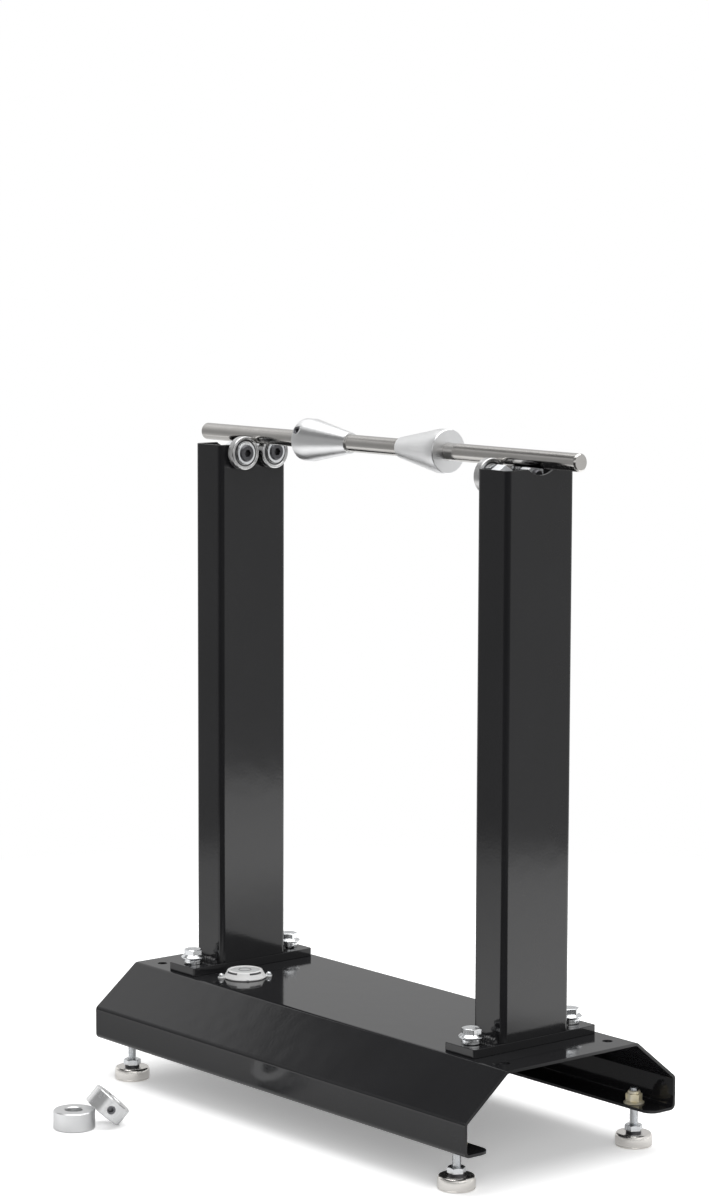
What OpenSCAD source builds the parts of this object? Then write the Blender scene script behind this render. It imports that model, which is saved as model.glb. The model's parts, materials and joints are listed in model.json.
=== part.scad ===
// Wheel balancing stand: a levelled base channel, two posts with ball bearing rollers,
// and a loose axle with centring cones that rests and turns on the rollers.
// Frame: +X runs along the axle towards the front, +Z is up, left is -Y.
// The origin lies on the floor under the middle of the base.

/* [Base channel] */
// Length of the base along the axle
base_length = 406; // [380:1:520]
// Overall width across the two skirts
base_width = 190; // [175:1:240]
// Width of the flat top between its two bends
top_width = 117.5; // [114:0.5:126]
// Height of the upright skirts
skirt_height = 23; // [16:0.5:40]
// Height of the sloping sides
slope_height = 28.8; // [24:0.2:45]
// Thickness of the bent sheet
sheet = 2; // [1.5:0.1:3]
// Inside radius of the sheet's bends
bend_r = 2; // [1:0.5:3]
// Width of the lips turned in under the skirts
lip_width = 23; // [22:0.5:30]
// Radius of the free corners of the lips
lip_corner_r = 8; // [3:0.5:12]
// Diameter of the four corner holes in the top
corner_hole_d = 7; // [5:0.1:9]
// Distance of a corner hole from the end of the base
corner_hole_end = 16; // [10:0.5:20]
// Distance of a corner hole from the edge of the flat top
corner_hole_side = 12.5; // [9:0.5:18]

/* [Posts] */
// Distance between the middles of the two posts
post_spacing = 304; // [280:1:320]
// Width of the post tube across the axle
post_width = 60; // [58:1:64]
// Depth of the post tube along the axle
post_depth = 30; // [28:1:36]
// Wall of the post tube
post_wall = 2; // [1.5:0.1:3]
// Outside corner radius of the post tube
post_corner_r = 4; // [2.5:0.1:5]
// Depth of the round notch in the top of the post
notch_depth = 4; // [2:0.5:6]
// Radius of the round notch in the top of the post
notch_r = 18; // [14:0.5:22]
// Length of the foot plate across the axle
plate_length = 110; // [106:1:112]
// Width of the foot plate along the axle
plate_width = 30; // [28:1:40]
// Thickness of the foot plate
plate_thick = 6; // [4:0.5:8]
// Corner radius of the foot plate
plate_corner_r = 2; // [1:0.5:4]
// Leg of the weld bead at the foot of the post
weld_leg = 4.5; // [2:0.5:5]

/* [Post bolts] */
// Nominal diameter of the post bolts
post_bolt_d = 8; // [6:1:8]
// Distance of a post bolt from the end of the foot plate
post_bolt_end = 10.5; // [8:0.1:11]
// Width across flats of the bolt head
post_bolt_af = 12; // [10:0.5:13]
// Height of the bolt head with its flange
post_bolt_head = 6.5; // [6:0.5:9]
// Diameter of the flange under the head
post_bolt_flange_d = 17; // [15:0.2:17.4]
// Outside diameter of the spring washers under the bolt heads
spring_washer_d = 13; // [11:0.2:15]
// Height of the spring washers under the bolt heads
spring_washer_h = 4.2; // [1.6:0.1:5]
// Slit in the spring washers
spring_washer_slit = 1.2; // [0.8:0.1:2]
// Width across flats of the nut under the base
post_nut_af = 13; // [11:0.5:14]
// Height of the nut under the base
post_nut_h = 8; // [6:0.5:10]

/* [Axle] */
// Height of the axle's middle above the floor
axle_height = 469.3; // [380:0.1:560]
// Diameter of the axle
axle_d = 12; // [10:0.5:14]
// Length of the axle
axle_length = 396; // [370:1:440]
// How far the axle is pushed towards the front
axle_shift = 6; // [-15:1:15]
// Chamfer on the ends of the axle
axle_chamfer = 1; // [0.5:0.1:2]

/* [Rollers] */
// Outside diameter of a roller bearing
roller_d = 24; // [22:0.5:28]
// Width of a roller bearing
roller_w = 6; // [5.5:0.5:9]
// Bore of a roller bearing
roller_bore = 12; // [10:0.5:12.5]
// Gap between the two rollers of a pair
roller_gap = 3; // [1:0.5:4]
// Diameter of the balls
ball_d = 3.2; // [2.8:0.1:3.6]
// Number of balls in a bearing
ball_count = 9; // [7:1:10]
// Length of the spacer between the roller and the post
spacer_h = 2.4; // [1:0.2:4]
// Thickness of the washer that keeps a roller on its pin
washer_h = 1; // [0.8:0.1:2]
// How far a roller's pin shows past its washer
roller_pin_end = 1.2; // [1:0.1:3]
// Width across flats of the socket in a roller's pin
roller_socket_af = 5; // [4:0.5:6]
// Diameter of the thread that holds a roller's pin in the post
roller_thread_d = 8; // [6:0.5:9.5]
// Width across flats of the nuts on the roller pins
roller_nut_af = 14; // [12:0.5:17]
// Height of the nuts on the roller pins
roller_nut_h = 8; // [6:0.5:9]

/* [Cones] */
// Diameter of a centring cone's big end
cone_d = 30; // [26:0.5:40]
// Diameter of a centring cone's small end
cone_tip_d = 14.5; // [14:0.1:18]
// Length of a centring cone
cone_length = 48; // [40:0.5:60]
// Length of the straight band at the big end
cone_band = 8; // [7.5:0.5:12]
// Distance of a cone's big end from the middle of the stand
cone_place = 75.5; // [62:0.5:95]

/* [Set collars] */
// Outside diameter of a set collar
collar_d = 29; // [26:0.5:34]
// Width of a set collar
collar_w = 13.2; // [11:0.1:16]
// Chamfer on the edges of a set collar
collar_chamfer = 0.7; // [0.3:0.1:1.5]
// Diameter of the clamping screws
clamp_screw_d = 6; // [5:0.5:6]
// Width across flats of the clamping screws' sockets
clamp_socket_af = 3; // [2.5:0.1:3.2]
// Place along the stand of the collar that lies flat
collar_x = -96; // [-140:1:-60]
// Distance of the flat collar from the stand's middle
collar_y = 189.5; // [175:0.5:240]
// Tilt of the collar that leans on the flat one
lean_tilt = 41; // [35:1:50]
// Direction in which the leaning collar stands
lean_turn = 65; // [50:1:80]

/* [Feet] */
// Height of the lips' underside above the floor
base_lift = 27.4; // [24:0.2:34]
// Distance of a foot from the end of the base
foot_end = 24.5; // [18:0.5:40]
// Distance of a foot from the outside of the skirt
foot_side = 14.8; // [13:0.2:16]
// Diameter of a foot pad
pad_d = 25.4; // [22:0.2:27]
// Height of a foot pad
pad_h = 9.2; // [8:0.2:11]
// Radius of the bulging side of a foot pad
pad_side_r = 10; // [6.5:0.5:10]
// Diameter of the neck between pad and hexagon
neck_d = 10.5; // [8.5:0.5:10.5]
// Height of the neck between pad and hexagon
neck_h = 1.5; // [1:0.5:3]
// Width across flats of the foot's hexagon
foot_hex_af = 11; // [10:0.5:13]
// Height of the foot's hexagon
foot_hex_h = 4; // [4:0.5:6]
// Diameter of the foot's stud
stud_d = 6; // [5:0.5:6.5]
// Length of stud that shows above the lock nut
stud_end = 2.5; // [2:0.5:5]
// Width across flats of the lock nuts
lock_nut_af = 10; // [9.5:0.5:11]
// Height of the lock nuts
lock_nut_h = 7; // [5:0.5:8]
// Diameter of the locking collar on the lock nuts
lock_nut_collar_d = 8.6; // [8:0.1:9.2]
// Height of the locking collar on the lock nuts
lock_nut_collar_h = 1.8; // [1:0.1:2.5]
// Diameter of the flange on the lock nuts
lock_nut_flange_d = 14.2; // [13:0.2:15]

/* [Level] */
// Place of the level along the stand
level_x = -113.5; // [-114:0.5:-80]
// Distance of the level from the stand's middle
level_y = 26.5; // [0:0.5:30]
// Turn of the level's two screws from the axle's direction
level_turn = 60; // [0:5:90]
// Diameter of the level's housing at its foot
level_d = 30.5; // [28:0.5:34]
// Diameter of the level's housing at its top
level_top_d = 25; // [24.6:0.1:27]
// Height of the level's housing
level_h = 5.8; // [5.8:0.2:9]
// Diameter of the level's lens
lens_d = 20.6; // [18:0.2:21]
// Thickness of the level's lens
lens_h = 1.5; // [1.2:0.1:1.8]
// Diameter of the bubble
bubble_d = 5.6; // [4:0.2:8]
// Diameter of the ring that marks the centre
mark_d = 8.4; // [8:0.2:12]
// Diameter of the level screws' heads
level_screw_head_d = 4; // [4:0.1:5]
// Nominal diameter of the level screws
level_screw_d = 3; // [2.5:0.1:3]

/* [Clearances] */
// Gap between the axle and a roller it rests on
rest_gap = 0.2; // [0.1:0.05:0.4]
// Radial clearance of a piece that slides on the axle
slide_gap = 0.05; // [0.02:0.01:0.1]
// Radial clearance of a screw in its thread
thread_gap = 0.1; // [0.02:0.01:0.1]
// Radial clearance of a bolt in its hole
bolt_gap = 0.4; // [0.2:0.05:0.6]
// Radial clearance of a piece pressed into its seat
seat_gap = 0.05; // [0.02:0.01:0.1]
// Clearance between a ball and its race or pocket
ball_gap = 0.15; // [0.1:0.05:0.2]
// Clearance between a shield and the inner ring
shield_gap = 0.3; // [0.2:0.05:0.4]
// Height of the axle's underside over the post tops
axle_over_post = 0.3; // [0.2:0.1:2]

/* [Hidden] */

$fn = 64;

// Signs of the two ends and the two sides
front = 1;
rear = -1;
left = -1;
right = 1;

// Extra length that carries a cut past the face it opens
cut = 1;

// Heights of the base's bends and of what stands on it
knee_z = base_lift + skirt_height;
top_z = knee_z + slope_height;
plate_z = top_z + plate_thick;
post_top = axle_height - axle_d / 2 - axle_over_post;
lip_z = base_lift + sheet;

// Middles of the posts, the bolts and the holes in the base
post_x = post_spacing / 2;
post_bolt_y = plate_length / 2 - post_bolt_end;
corner_hole_x = base_length / 2 - corner_hole_end;
corner_hole_y = top_width / 2 - corner_hole_side;
foot_x = base_length / 2 - foot_end;
foot_y = base_width / 2 - foot_side;

// Outline of the base's cross section, and the same outline one sheet further in
base_outline = [
  [-base_width / 2, base_lift], [base_width / 2, base_lift], [base_width / 2, knee_z],
  [top_width / 2, top_z], [-top_width / 2, top_z], [-base_width / 2, knee_z]
];
hollow_outline = inset_outline(base_outline, sheet);

// The axle rests in the vee of two rollers
roller_r = roller_d / 2;
roller_y = roller_r + roller_gap / 2;
roller_reach = roller_r + axle_d / 2 + rest_gap;
roller_z = axle_height - sqrt(roller_reach * roller_reach - roller_y * roller_y);
pitch_r = (roller_d + roller_bore) / 4;
race_r = ball_d / 2 + ball_gap;
land_share = 0.8;
land_reach = land_share * ball_d / 2;
inner_land_r = pitch_r - land_reach;
outer_land_r = pitch_r + land_reach;
shield_h = 0.3;
shield_recess = 0.2;
shield_step = 0.5;
cage_t = 1.2;
cage_wall = 0.5;
roller_edge = 0.5;
roller_pin_r = roller_bore / 2 - seat_gap;
roller_pin_h = spacer_h + roller_w + washer_h + roller_pin_end;
roller_pin_chamfer = 0.8;
roller_socket_depth = 3;
roller_thread_r = roller_thread_d / 2 - seat_gap;
roller_thread_end = 3;

// Clamping screws of the cones and collars
collar_bore_r = axle_d / 2 + slide_gap;
clamp_hole_r = clamp_screw_d / 2;
clamp_screw_r = clamp_hole_r - thread_gap;
clamp_sink = 0.5;
clamp_socket_depth = 3;
clamp_tip_chamfer = 0.8;
cone_edge = 0.5;

// The two cones' screws face opposite ways, so that they balance each other
cone_screw_angle = 120;
flat_collar_screw_angle = 100;
lean_screw_angle = -91;

// The leaning collar stands on its lower rim and touches the flat collar's upper edge
lean_gap = 0.4;
lean_reach = collar_d / 2 + (collar_w + lean_gap) / tan(lean_tilt);
lean_foot = lean_reach - collar_d / 2 * cos(lean_tilt);
lean_lift = collar_d / 2 * sin(lean_tilt);

// Heights in a foot
pad_side_z = pad_h / 2;
pad_socket = 4;
stud_r = stud_d / 2 - seat_gap;
hex_z = pad_h + neck_h;
stud_top = lip_z + lock_nut_h + lock_nut_collar_h + stud_end;
lock_nut_bore_r = stud_d / 2 + thread_gap - seat_gap;
stud_chamfer = 0.8;

// Length of a post bolt that shows below its nut
post_bolt_end_h = 3;

// Edge and slope of nut and bolt flanges, and the turned corners of the hexagons
flange_edge = 1.2;
flange_slope_h = 1.6;
hex_chamfer = 25;
hex_flat_top = 0.95;

// Heights in the level
level_floor = 1.8;
lens_seat = 0.9;
lens_groove = 0.7;
lens_sink = 0.2;
lens_z = level_h - lens_h - lens_sink;
liquid_r = lens_d / 2 - lens_seat;
bubble_h = 0.9;
mark_w = 0.5;
mark_h = 0.15;
ear_h = 1.6;
ear_margin = 0.3;
ear_r = level_screw_head_d / 2 + ear_margin;
ear_place = level_d / 2 + level_screw_head_d / 2;
level_screw_head_h = 2;
level_screw_length = 7;
recess_w = 0.7;
recess_depth = 1;
rim_notch = 2.4;

// Colours of the finishes
black_coat = [0.03, 0.03, 0.032];
zinc = [0.78, 0.78, 0.76];
bearing_steel = [0.72, 0.73, 0.75];
polished_steel = [0.66, 0.66, 0.68];
turned_aluminium = [0.82, 0.82, 0.82];
nickel = [0.8, 0.78, 0.74];
black_oxide = [0.05, 0.05, 0.05];
white_plastic = [0.9, 0.9, 0.89];
clear_plastic = [0.85, 0.9, 0.9, 0.4];

function unit(v) = v / norm(v);

// Directions from corner i of an outline to its two neighbours
function to_last(pts, i) = unit(pts[(i + len(pts) - 1) % len(pts)] - pts[i]);
function to_next(pts, i) = unit(pts[(i + 1) % len(pts)] - pts[i]);
function half_angle(pts, i) = acos(to_last(pts, i) * to_next(pts, i)) / 2;
function inward(pts, i) = unit(to_last(pts, i) + to_next(pts, i));

// Point inside corner i of a convex outline, at one distance from both of its edges
function inside_corner(pts, i, distance) = pts[i] + inward(pts, i) * distance / sin(half_angle(pts, i));

// A convex outline with every edge moved in by one distance
function inset_outline(pts, distance) = [for (i = [0:len(pts) - 1]) inside_corner(pts, i, distance)];

// A convex outline with round corners
module rounded_outline(pts, r) {
  reach = [for (i = [0:len(pts) - 1]) r / tan(half_angle(pts, i))];
  polygon([
    for (i = [0:len(pts) - 1])
      each [pts[i] + to_last(pts, i) * reach[i], pts[i] + to_next(pts, i) * reach[i]]
  ]);
  for (i = [0:len(pts) - 1])
    translate(inside_corner(pts, i, r))
      circle(r);
}

// A rectangle about the origin with round corners
module rounded_rectangle(size_x, size_y, r) {
  rounded_outline([
    [-size_x / 2, -size_y / 2], [size_x / 2, -size_y / 2],
    [size_x / 2, size_y / 2], [-size_x / 2, size_y / 2]
  ], r);
}

// A hexagonal prism on the plane z = 0 with its top corners turned off
module hex_prism(af, h) {
  top_r = hex_flat_top * af / 2;
  intersection() {
    cylinder(d = af / cos(30), h = h, $fn = 6);
    rotate_extrude()
      polygon([[0, 0], [af, 0], [af, h - (af - top_r) * tan(hex_chamfer)], [top_r, h], [0, h]]);
  }
}

// A round flange that slopes up to the hexagon on it
module hex_flange(d, af) {
  top = flange_edge + flange_slope_h;
  rotate_extrude()
    polygon([[0, 0], [d / 2, 0], [d / 2, flange_edge], [af / 2, top], [0, top]]);
}

// A flanged nut on the plane z = 0 with its flange down
module flange_nut(flange_d, af, h, bore_r) {
  difference() {
    union() {
      hex_flange(flange_d, af);
      hex_prism(af, h);
    }
    translate([0, 0, -cut])
      cylinder(r = bore_r, h = h + 2 * cut);
  }
}

// A socket set screw along +z with its tip at z = 0
module clamp_screw(length) {
  color(black_oxide)
    difference() {
      rotate_extrude()
        polygon([
          [0, 0], [clamp_screw_r - clamp_tip_chamfer, 0], [clamp_screw_r, clamp_tip_chamfer],
          [clamp_screw_r, length], [0, length]
        ]);
      translate([0, 0, length - clamp_socket_depth])
        cylinder(d = clamp_socket_af / cos(30), h = clamp_socket_depth + cut, $fn = 6);
    }
}

// Places a child at a foot, at a post, at a post bolt or at a roller
module at_foot(end, side) {
  translate([end * foot_x, side * foot_y, 0])
    children();
}

module at_post(end) {
  translate([end * post_x, 0, 0])
    children();
}

module at_post_bolts() {
  for (end = [front, rear], side = [left, right])
    translate([end * post_x, side * post_bolt_y, 0])
      children();
}

// The child's z axis leaves the post's inner wall towards the middle of the stand
module at_roller(end, side) {
  translate([end * (post_x - post_depth / 2), side * roller_y, roller_z])
    rotate([0, -90 * end, 0])
      children();
}

module at_rollers() {
  for (end = [front, rear], side = [left, right])
    at_roller(end, side)
      children();
}

// The child's z axis starts at a cone's big end and runs to the middle of the stand
module at_cone(end) {
  translate([end * cone_place, 0, axle_height])
    rotate([0, -90 * end, 0])
      children();
}

module at_flat_collar() {
  translate([collar_x, -collar_y, 0])
    children();
}

module at_leaning_collar() {
  at_flat_collar()
    rotate([0, 0, lean_turn])
      translate([lean_foot, 0, lean_lift])
        rotate([0, lean_tilt, 0])
          children();
}

// Turns a child's z axis outwards along a radius at a height on the axis
module on_radius(angle, height) {
  translate([0, 0, height])
    rotate([0, 0, angle])
      rotate([0, 90, 0])
        children();
}

module at_level() {
  translate([level_x, -level_y, top_z])
    rotate([0, 0, level_turn])
      children();
}

module at_level_ears() {
  for (side = [left, right])
    translate([side * ear_place, 0, 0])
      children();
}

// Cuts that round off the free corners of the lips
module lip_corner_cuts() {
  middle_x = base_length / 2 - lip_corner_r;
  middle_y = base_width / 2 - lip_width + lip_corner_r;
  square_w = lip_corner_r + cut;
  translate([0, 0, base_lift - cut])
    linear_extrude(sheet + 2 * cut)
      for (end = [front, rear], side = [left, right])
        difference() {
          translate([end * (middle_x + square_w / 2), side * (middle_y - square_w / 2)])
            square(square_w, center = true);
          translate([end * middle_x, side * middle_y])
            circle(lip_corner_r);
        }
}

module base_channel() {
  slot_w = base_width - 2 * lip_width;
  color(black_coat)
    difference() {
      rotate([90, 0, 90])
        linear_extrude(base_length, center = true)
          difference() {
            rounded_outline(base_outline, bend_r + sheet);
            rounded_outline(hollow_outline, bend_r);
            translate([-slot_w / 2, base_lift - cut])
              square([slot_w, sheet + 2 * cut]);
          }
      lip_corner_cuts();
      for (end = [front, rear], side = [left, right]) {
        translate([end * corner_hole_x, side * corner_hole_y, top_z - sheet - cut])
          cylinder(d = corner_hole_d, h = sheet + 2 * cut);
        translate([end * foot_x, side * foot_y, base_lift - cut])
          cylinder(d = stud_d + 2 * (thread_gap - seat_gap), h = sheet + 2 * cut);
      }
      translate([0, 0, top_z - sheet - cut])
        at_post_bolts()
          cylinder(r = post_bolt_d / 2 + bolt_gap, h = sheet + 2 * cut);
      translate([0, 0, -sheet - cut])
        at_level()
          at_level_ears()
            cylinder(d = level_screw_d, h = sheet + 2 * cut);
    }
}

module post_tube(end) {
  inside_depth = post_depth - 2 * post_wall;
  inside_width = post_width - 2 * post_wall;
  color(black_coat)
    difference() {
      at_post(end)
        translate([0, 0, plate_z])
          linear_extrude(post_top - plate_z)
            difference() {
              rounded_rectangle(post_depth, post_width, post_corner_r);
              rounded_rectangle(inside_depth, inside_width, post_corner_r - post_wall);
            }
      at_post(end)
        translate([0, 0, post_top - notch_depth + notch_r])
          rotate([0, 90, 0])
            cylinder(r = notch_r, h = post_depth + 2 * cut, center = true);
      for (side = [left, right])
        at_roller(end, side)
          translate([0, 0, -post_wall - cut])
            cylinder(r = roller_thread_r + bolt_gap, h = post_wall + 2 * cut);
    }
}

module post_plate(end) {
  color(black_coat)
    difference() {
      at_post(end)
        translate([0, 0, top_z])
          linear_extrude(plate_thick)
            rounded_rectangle(plate_width, plate_length, plate_corner_r);
      translate([0, 0, top_z - cut])
        at_post_bolts()
          cylinder(r = post_bolt_d / 2 + bolt_gap, h = plate_thick + 2 * cut);
    }
}

// Quarter round beads along the two narrow sides of a post
module post_welds(end) {
  weld_length = min(post_depth - 2 * post_corner_r, plate_width);
  color(black_coat)
    for (side = [left, right])
      at_post(end)
        translate([0, side * post_width / 2, plate_z])
          intersection() {
            rotate([0, 90, 0])
              cylinder(r = weld_leg, h = weld_length, center = true);
            translate([-weld_length, side > 0 ? 0 : -2 * weld_leg, 0])
              cube([2 * weld_length, 2 * weld_leg, 2 * weld_leg]);
          }
}

module post_bolts() {
  shank = spring_washer_h + plate_thick + sheet + post_nut_h + post_bolt_end_h;
  color(zinc)
    translate([0, 0, plate_z + spring_washer_h])
      at_post_bolts() {
        hex_flange(post_bolt_flange_d, post_bolt_af);
        hex_prism(post_bolt_af, post_bolt_head);
        translate([0, 0, -shank])
          cylinder(d = post_bolt_d, h = shank + cut);
      }
}

// A washer with one slit, which flattens under the bolt head
module post_spring_washers() {
  color(zinc)
    translate([0, 0, plate_z])
      at_post_bolts()
        difference() {
          cylinder(d = spring_washer_d, h = spring_washer_h);
          translate([0, 0, -cut])
            cylinder(r = post_bolt_d / 2 + bolt_gap, h = spring_washer_h + 2 * cut);
          translate([0, -spring_washer_slit / 2, -cut])
            cube([spring_washer_d, spring_washer_slit, spring_washer_h + 2 * cut]);
        }
}

module post_nuts() {
  color(zinc)
    translate([0, 0, top_z - sheet])
      at_post_bolts()
        mirror([0, 0, 1])
          flange_nut(post_bolt_flange_d, post_nut_af, post_nut_h, post_bolt_d / 2 + seat_gap);
}

// Stepped pins: the thick end carries a roller, the thread goes through the post's inner wall
module roller_bolts() {
  thread = post_wall + roller_nut_h + roller_thread_end;
  color(black_oxide)
    at_rollers()
      difference() {
        rotate_extrude()
          polygon([
            [0, -thread], [roller_thread_r, -thread], [roller_thread_r, 0], [roller_pin_r, 0],
            [roller_pin_r, roller_pin_h - roller_pin_chamfer],
            [roller_pin_r - roller_pin_chamfer, roller_pin_h], [0, roller_pin_h]
          ]);
        translate([0, 0, roller_pin_h - roller_socket_depth])
          cylinder(d = roller_socket_af / cos(30), h = roller_socket_depth + cut, $fn = 6);
      }
}

module roller_tube(from_z, h) {
  translate([0, 0, from_z])
    rotate_extrude()
      translate([roller_bore / 2, 0])
        square([inner_land_r - roller_bore / 2, h]);
}

module roller_spacers() {
  color(zinc)
    at_rollers()
      roller_tube(0, spacer_h);
}

module roller_washers() {
  color(zinc)
    at_rollers()
      roller_tube(spacer_h + roller_w, washer_h);
}

module roller_nuts() {
  color(zinc)
    at_rollers()
      translate([0, 0, -post_wall])
        mirror([0, 0, 1])
          difference() {
            hex_prism(roller_nut_af, roller_nut_h);
            translate([0, 0, -cut])
              cylinder(d = roller_thread_d, h = roller_nut_h + 2 * cut);
          }
}

module roller_inner_rings() {
  color(bearing_steel)
    at_rollers()
      translate([0, 0, spacer_h])
        rotate_extrude()
          difference() {
            translate([roller_bore / 2, 0])
              square([inner_land_r - roller_bore / 2, roller_w]);
            translate([pitch_r, roller_w / 2])
              circle(race_r);
          }
}

// The outer ring has a race inside and a step at each face for its shield
module roller_ring(end, side) {
  color(bearing_steel)
    at_roller(end, side)
      translate([0, 0, spacer_h])
        rotate_extrude()
          difference() {
            polygon([
              [outer_land_r, 0], [roller_r - roller_edge, 0],
              [roller_r, roller_edge], [roller_r, roller_w - roller_edge],
              [roller_r - roller_edge, roller_w], [outer_land_r, roller_w]
            ]);
            translate([pitch_r, roller_w / 2])
              circle(race_r);
            for (z = [-cut, roller_w - shield_recess - shield_h])
              translate([0, z])
                square([outer_land_r + shield_step, shield_recess + shield_h + cut]);
          }
}

module roller_shields(end, side) {
  color(bearing_steel)
    at_roller(end, side)
      for (z = [shield_recess, roller_w - shield_recess - shield_h])
        translate([0, 0, spacer_h + z])
          rotate_extrude()
            translate([inner_land_r + shield_gap, 0])
              square([outer_land_r + shield_step - seat_gap - inner_land_r - shield_gap, shield_h]);
}

module at_balls() {
  translate([0, 0, spacer_h + roller_w / 2])
    for (k = [0:ball_count - 1])
      rotate([0, 0, k * 360 / ball_count])
        translate([pitch_r, 0, 0])
          children();
}

module roller_balls(end, side) {
  color(bearing_steel)
    at_roller(end, side)
      at_balls()
        sphere(d = ball_d);
}

module roller_cage(end, side) {
  cage_h = 2 * (race_r + cage_wall);
  color(zinc)
    at_roller(end, side)
      difference() {
        translate([0, 0, spacer_h + (roller_w - cage_h) / 2])
          rotate_extrude()
            translate([pitch_r - cage_t / 2, 0])
              square([cage_t, cage_h]);
        at_balls()
          rotate([0, 90, 0])
            cylinder(r = race_r, h = 2 * cage_t, center = true);
      }
}

module axle() {
  r = axle_d / 2;
  end_r = r - axle_chamfer;
  color(polished_steel)
    translate([axle_shift - axle_length / 2, 0, axle_height])
      rotate([0, 90, 0])
        rotate_extrude()
          polygon([
            [0, 0], [end_r, 0], [r, axle_chamfer],
            [r, axle_length - axle_chamfer], [end_r, axle_length], [0, axle_length]
          ]);
}

module cone(end) {
  color(turned_aluminium)
    at_cone(end)
      difference() {
        rotate_extrude()
          polygon([
            [collar_bore_r, 0], [cone_d / 2 - cone_edge, 0], [cone_d / 2, cone_edge],
            [cone_d / 2, cone_band], [cone_tip_d / 2, cone_length], [collar_bore_r, cone_length]
          ]);
        on_radius(end * cone_screw_angle, cone_band / 2)
          cylinder(r = clamp_hole_r, h = cone_d);
      }
}

module cone_screw(end) {
  at_cone(end)
    on_radius(end * cone_screw_angle, cone_band / 2)
      translate([0, 0, collar_bore_r])
        clamp_screw(cone_d / 2 - collar_bore_r - clamp_sink);
}

// A set collar on the plane z = 0 with its clamping screw's hole at an angle
module collar(screw_angle) {
  r = collar_d / 2;
  c = collar_chamfer;
  color(turned_aluminium)
    difference() {
      rotate_extrude()
        polygon([
          [collar_bore_r, c], [collar_bore_r + c, 0], [r - c, 0], [r, c],
          [r, collar_w - c], [r - c, collar_w], [collar_bore_r + c, collar_w], [collar_bore_r, collar_w - c]
        ]);
      on_radius(screw_angle, collar_w / 2)
        cylinder(r = clamp_hole_r, h = collar_d);
    }
}

module collar_screw(screw_angle) {
  on_radius(screw_angle, collar_w / 2)
    translate([0, 0, collar_bore_r + clamp_sink])
      clamp_screw(collar_d / 2 - collar_bore_r - 2 * clamp_sink);
}

module flat_collar() {
  at_flat_collar()
    collar(flat_collar_screw_angle);
}

module flat_collar_screw() {
  at_flat_collar()
    collar_screw(flat_collar_screw_angle);
}

module leaning_collar() {
  at_leaning_collar()
    collar(lean_screw_angle);
}

module leaning_collar_screw() {
  at_leaning_collar()
    collar_screw(lean_screw_angle);
}

// A bulging round pad with a neck, and a blind socket for the stud
module foot_pad(end, side) {
  color(nickel)
    at_foot(end, side)
      difference() {
        union() {
          rotate_extrude()
            intersection() {
              square([pad_d, pad_h]);
              union() {
                square([pad_d / 2 - pad_side_r, pad_h]);
                translate([pad_d / 2 - pad_side_r, pad_side_z])
                  circle(pad_side_r);
              }
            }
          translate([0, 0, pad_h - cut])
            cylinder(d = neck_d, h = neck_h + cut);
        }
        translate([0, 0, pad_socket])
          cylinder(d = stud_d, h = pad_h + neck_h);
      }
}

module foot_stud(end, side) {
  color(zinc)
    at_foot(end, side)
      translate([0, 0, pad_socket])
        rotate_extrude()
          polygon([
            [0, 0], [stud_r, 0], [stud_r, stud_top - pad_socket - stud_chamfer],
            [stud_r - stud_chamfer, stud_top - pad_socket], [0, stud_top - pad_socket]
          ]);
}

module foot_hex(end, side) {
  color(zinc)
    at_foot(end, side)
      translate([0, 0, hex_z])
        difference() {
          hex_prism(foot_hex_af, foot_hex_h);
          translate([0, 0, -cut])
            cylinder(d = stud_d, h = foot_hex_h + 2 * cut);
        }
}

module foot_lock_nuts() {
  color(zinc)
    for (end = [front, rear], side = [left, right])
      at_foot(end, side)
        translate([0, 0, lip_z]) {
          flange_nut(lock_nut_flange_d, lock_nut_af, lock_nut_h, lock_nut_bore_r);
          translate([0, 0, lock_nut_h - cut])
            rotate_extrude()
              translate([lock_nut_bore_r, 0])
                square([lock_nut_collar_d / 2 - lock_nut_bore_r, lock_nut_collar_h + cut]);
        }
}

// A tapered housing with a stepped well, two screw ears and a moulded notch in its rim
module level_housing() {
  color(white_plastic)
    at_level()
      difference() {
        union() {
          cylinder(d1 = level_d, d2 = level_top_d, h = level_h);
          at_level_ears()
            cylinder(r = ear_r, h = ear_h);
          translate([-ear_place, -ear_r, 0])
            cube([2 * ear_place, 2 * ear_r, ear_h]);
        }
        translate([0, 0, level_floor])
          cylinder(r = liquid_r, h = level_h);
        translate([0, 0, lens_z])
          cylinder(r = lens_d / 2 + lens_groove, h = level_h);
        at_level_ears()
          translate([0, 0, -cut])
            cylinder(d = level_screw_d, h = ear_h + 2 * cut);
        translate([-rim_notch / 2, -level_d / 2 - cut, -cut])
          cube([rim_notch, cut + rim_notch / 2, cut + rim_notch / 2]);
      }
}

module level_lens() {
  color(clear_plastic)
    at_level()
      translate([0, 0, lens_z])
        cylinder(d = lens_d, h = lens_h);
}

// The upper part of a ball, flattened on the underside of the lens
module bubble_form(margin) {
  ball_r = (bubble_d * bubble_d / 4 + bubble_h * bubble_h) / (2 * bubble_h);
  intersection() {
    translate([0, 0, lens_z - bubble_h + ball_r])
      sphere(r = ball_r + margin);
    translate([0, 0, lens_z - bubble_h - margin])
      cylinder(d = 2 * bubble_d, h = bubble_h + margin);
  }
}

module level_liquid() {
  color(clear_plastic)
    at_level()
      difference() {
        translate([0, 0, level_floor])
          cylinder(r = liquid_r - seat_gap, h = lens_z - level_floor);
        bubble_form(seat_gap);
      }
}

module level_bubble() {
  color(clear_plastic)
    at_level()
      bubble_form(0);
}

module level_ring() {
  color(black_oxide)
    at_level()
      translate([0, 0, lens_z + lens_h])
        rotate_extrude()
          translate([mark_d / 2, 0])
            square([mark_w, mark_h]);
}

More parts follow.
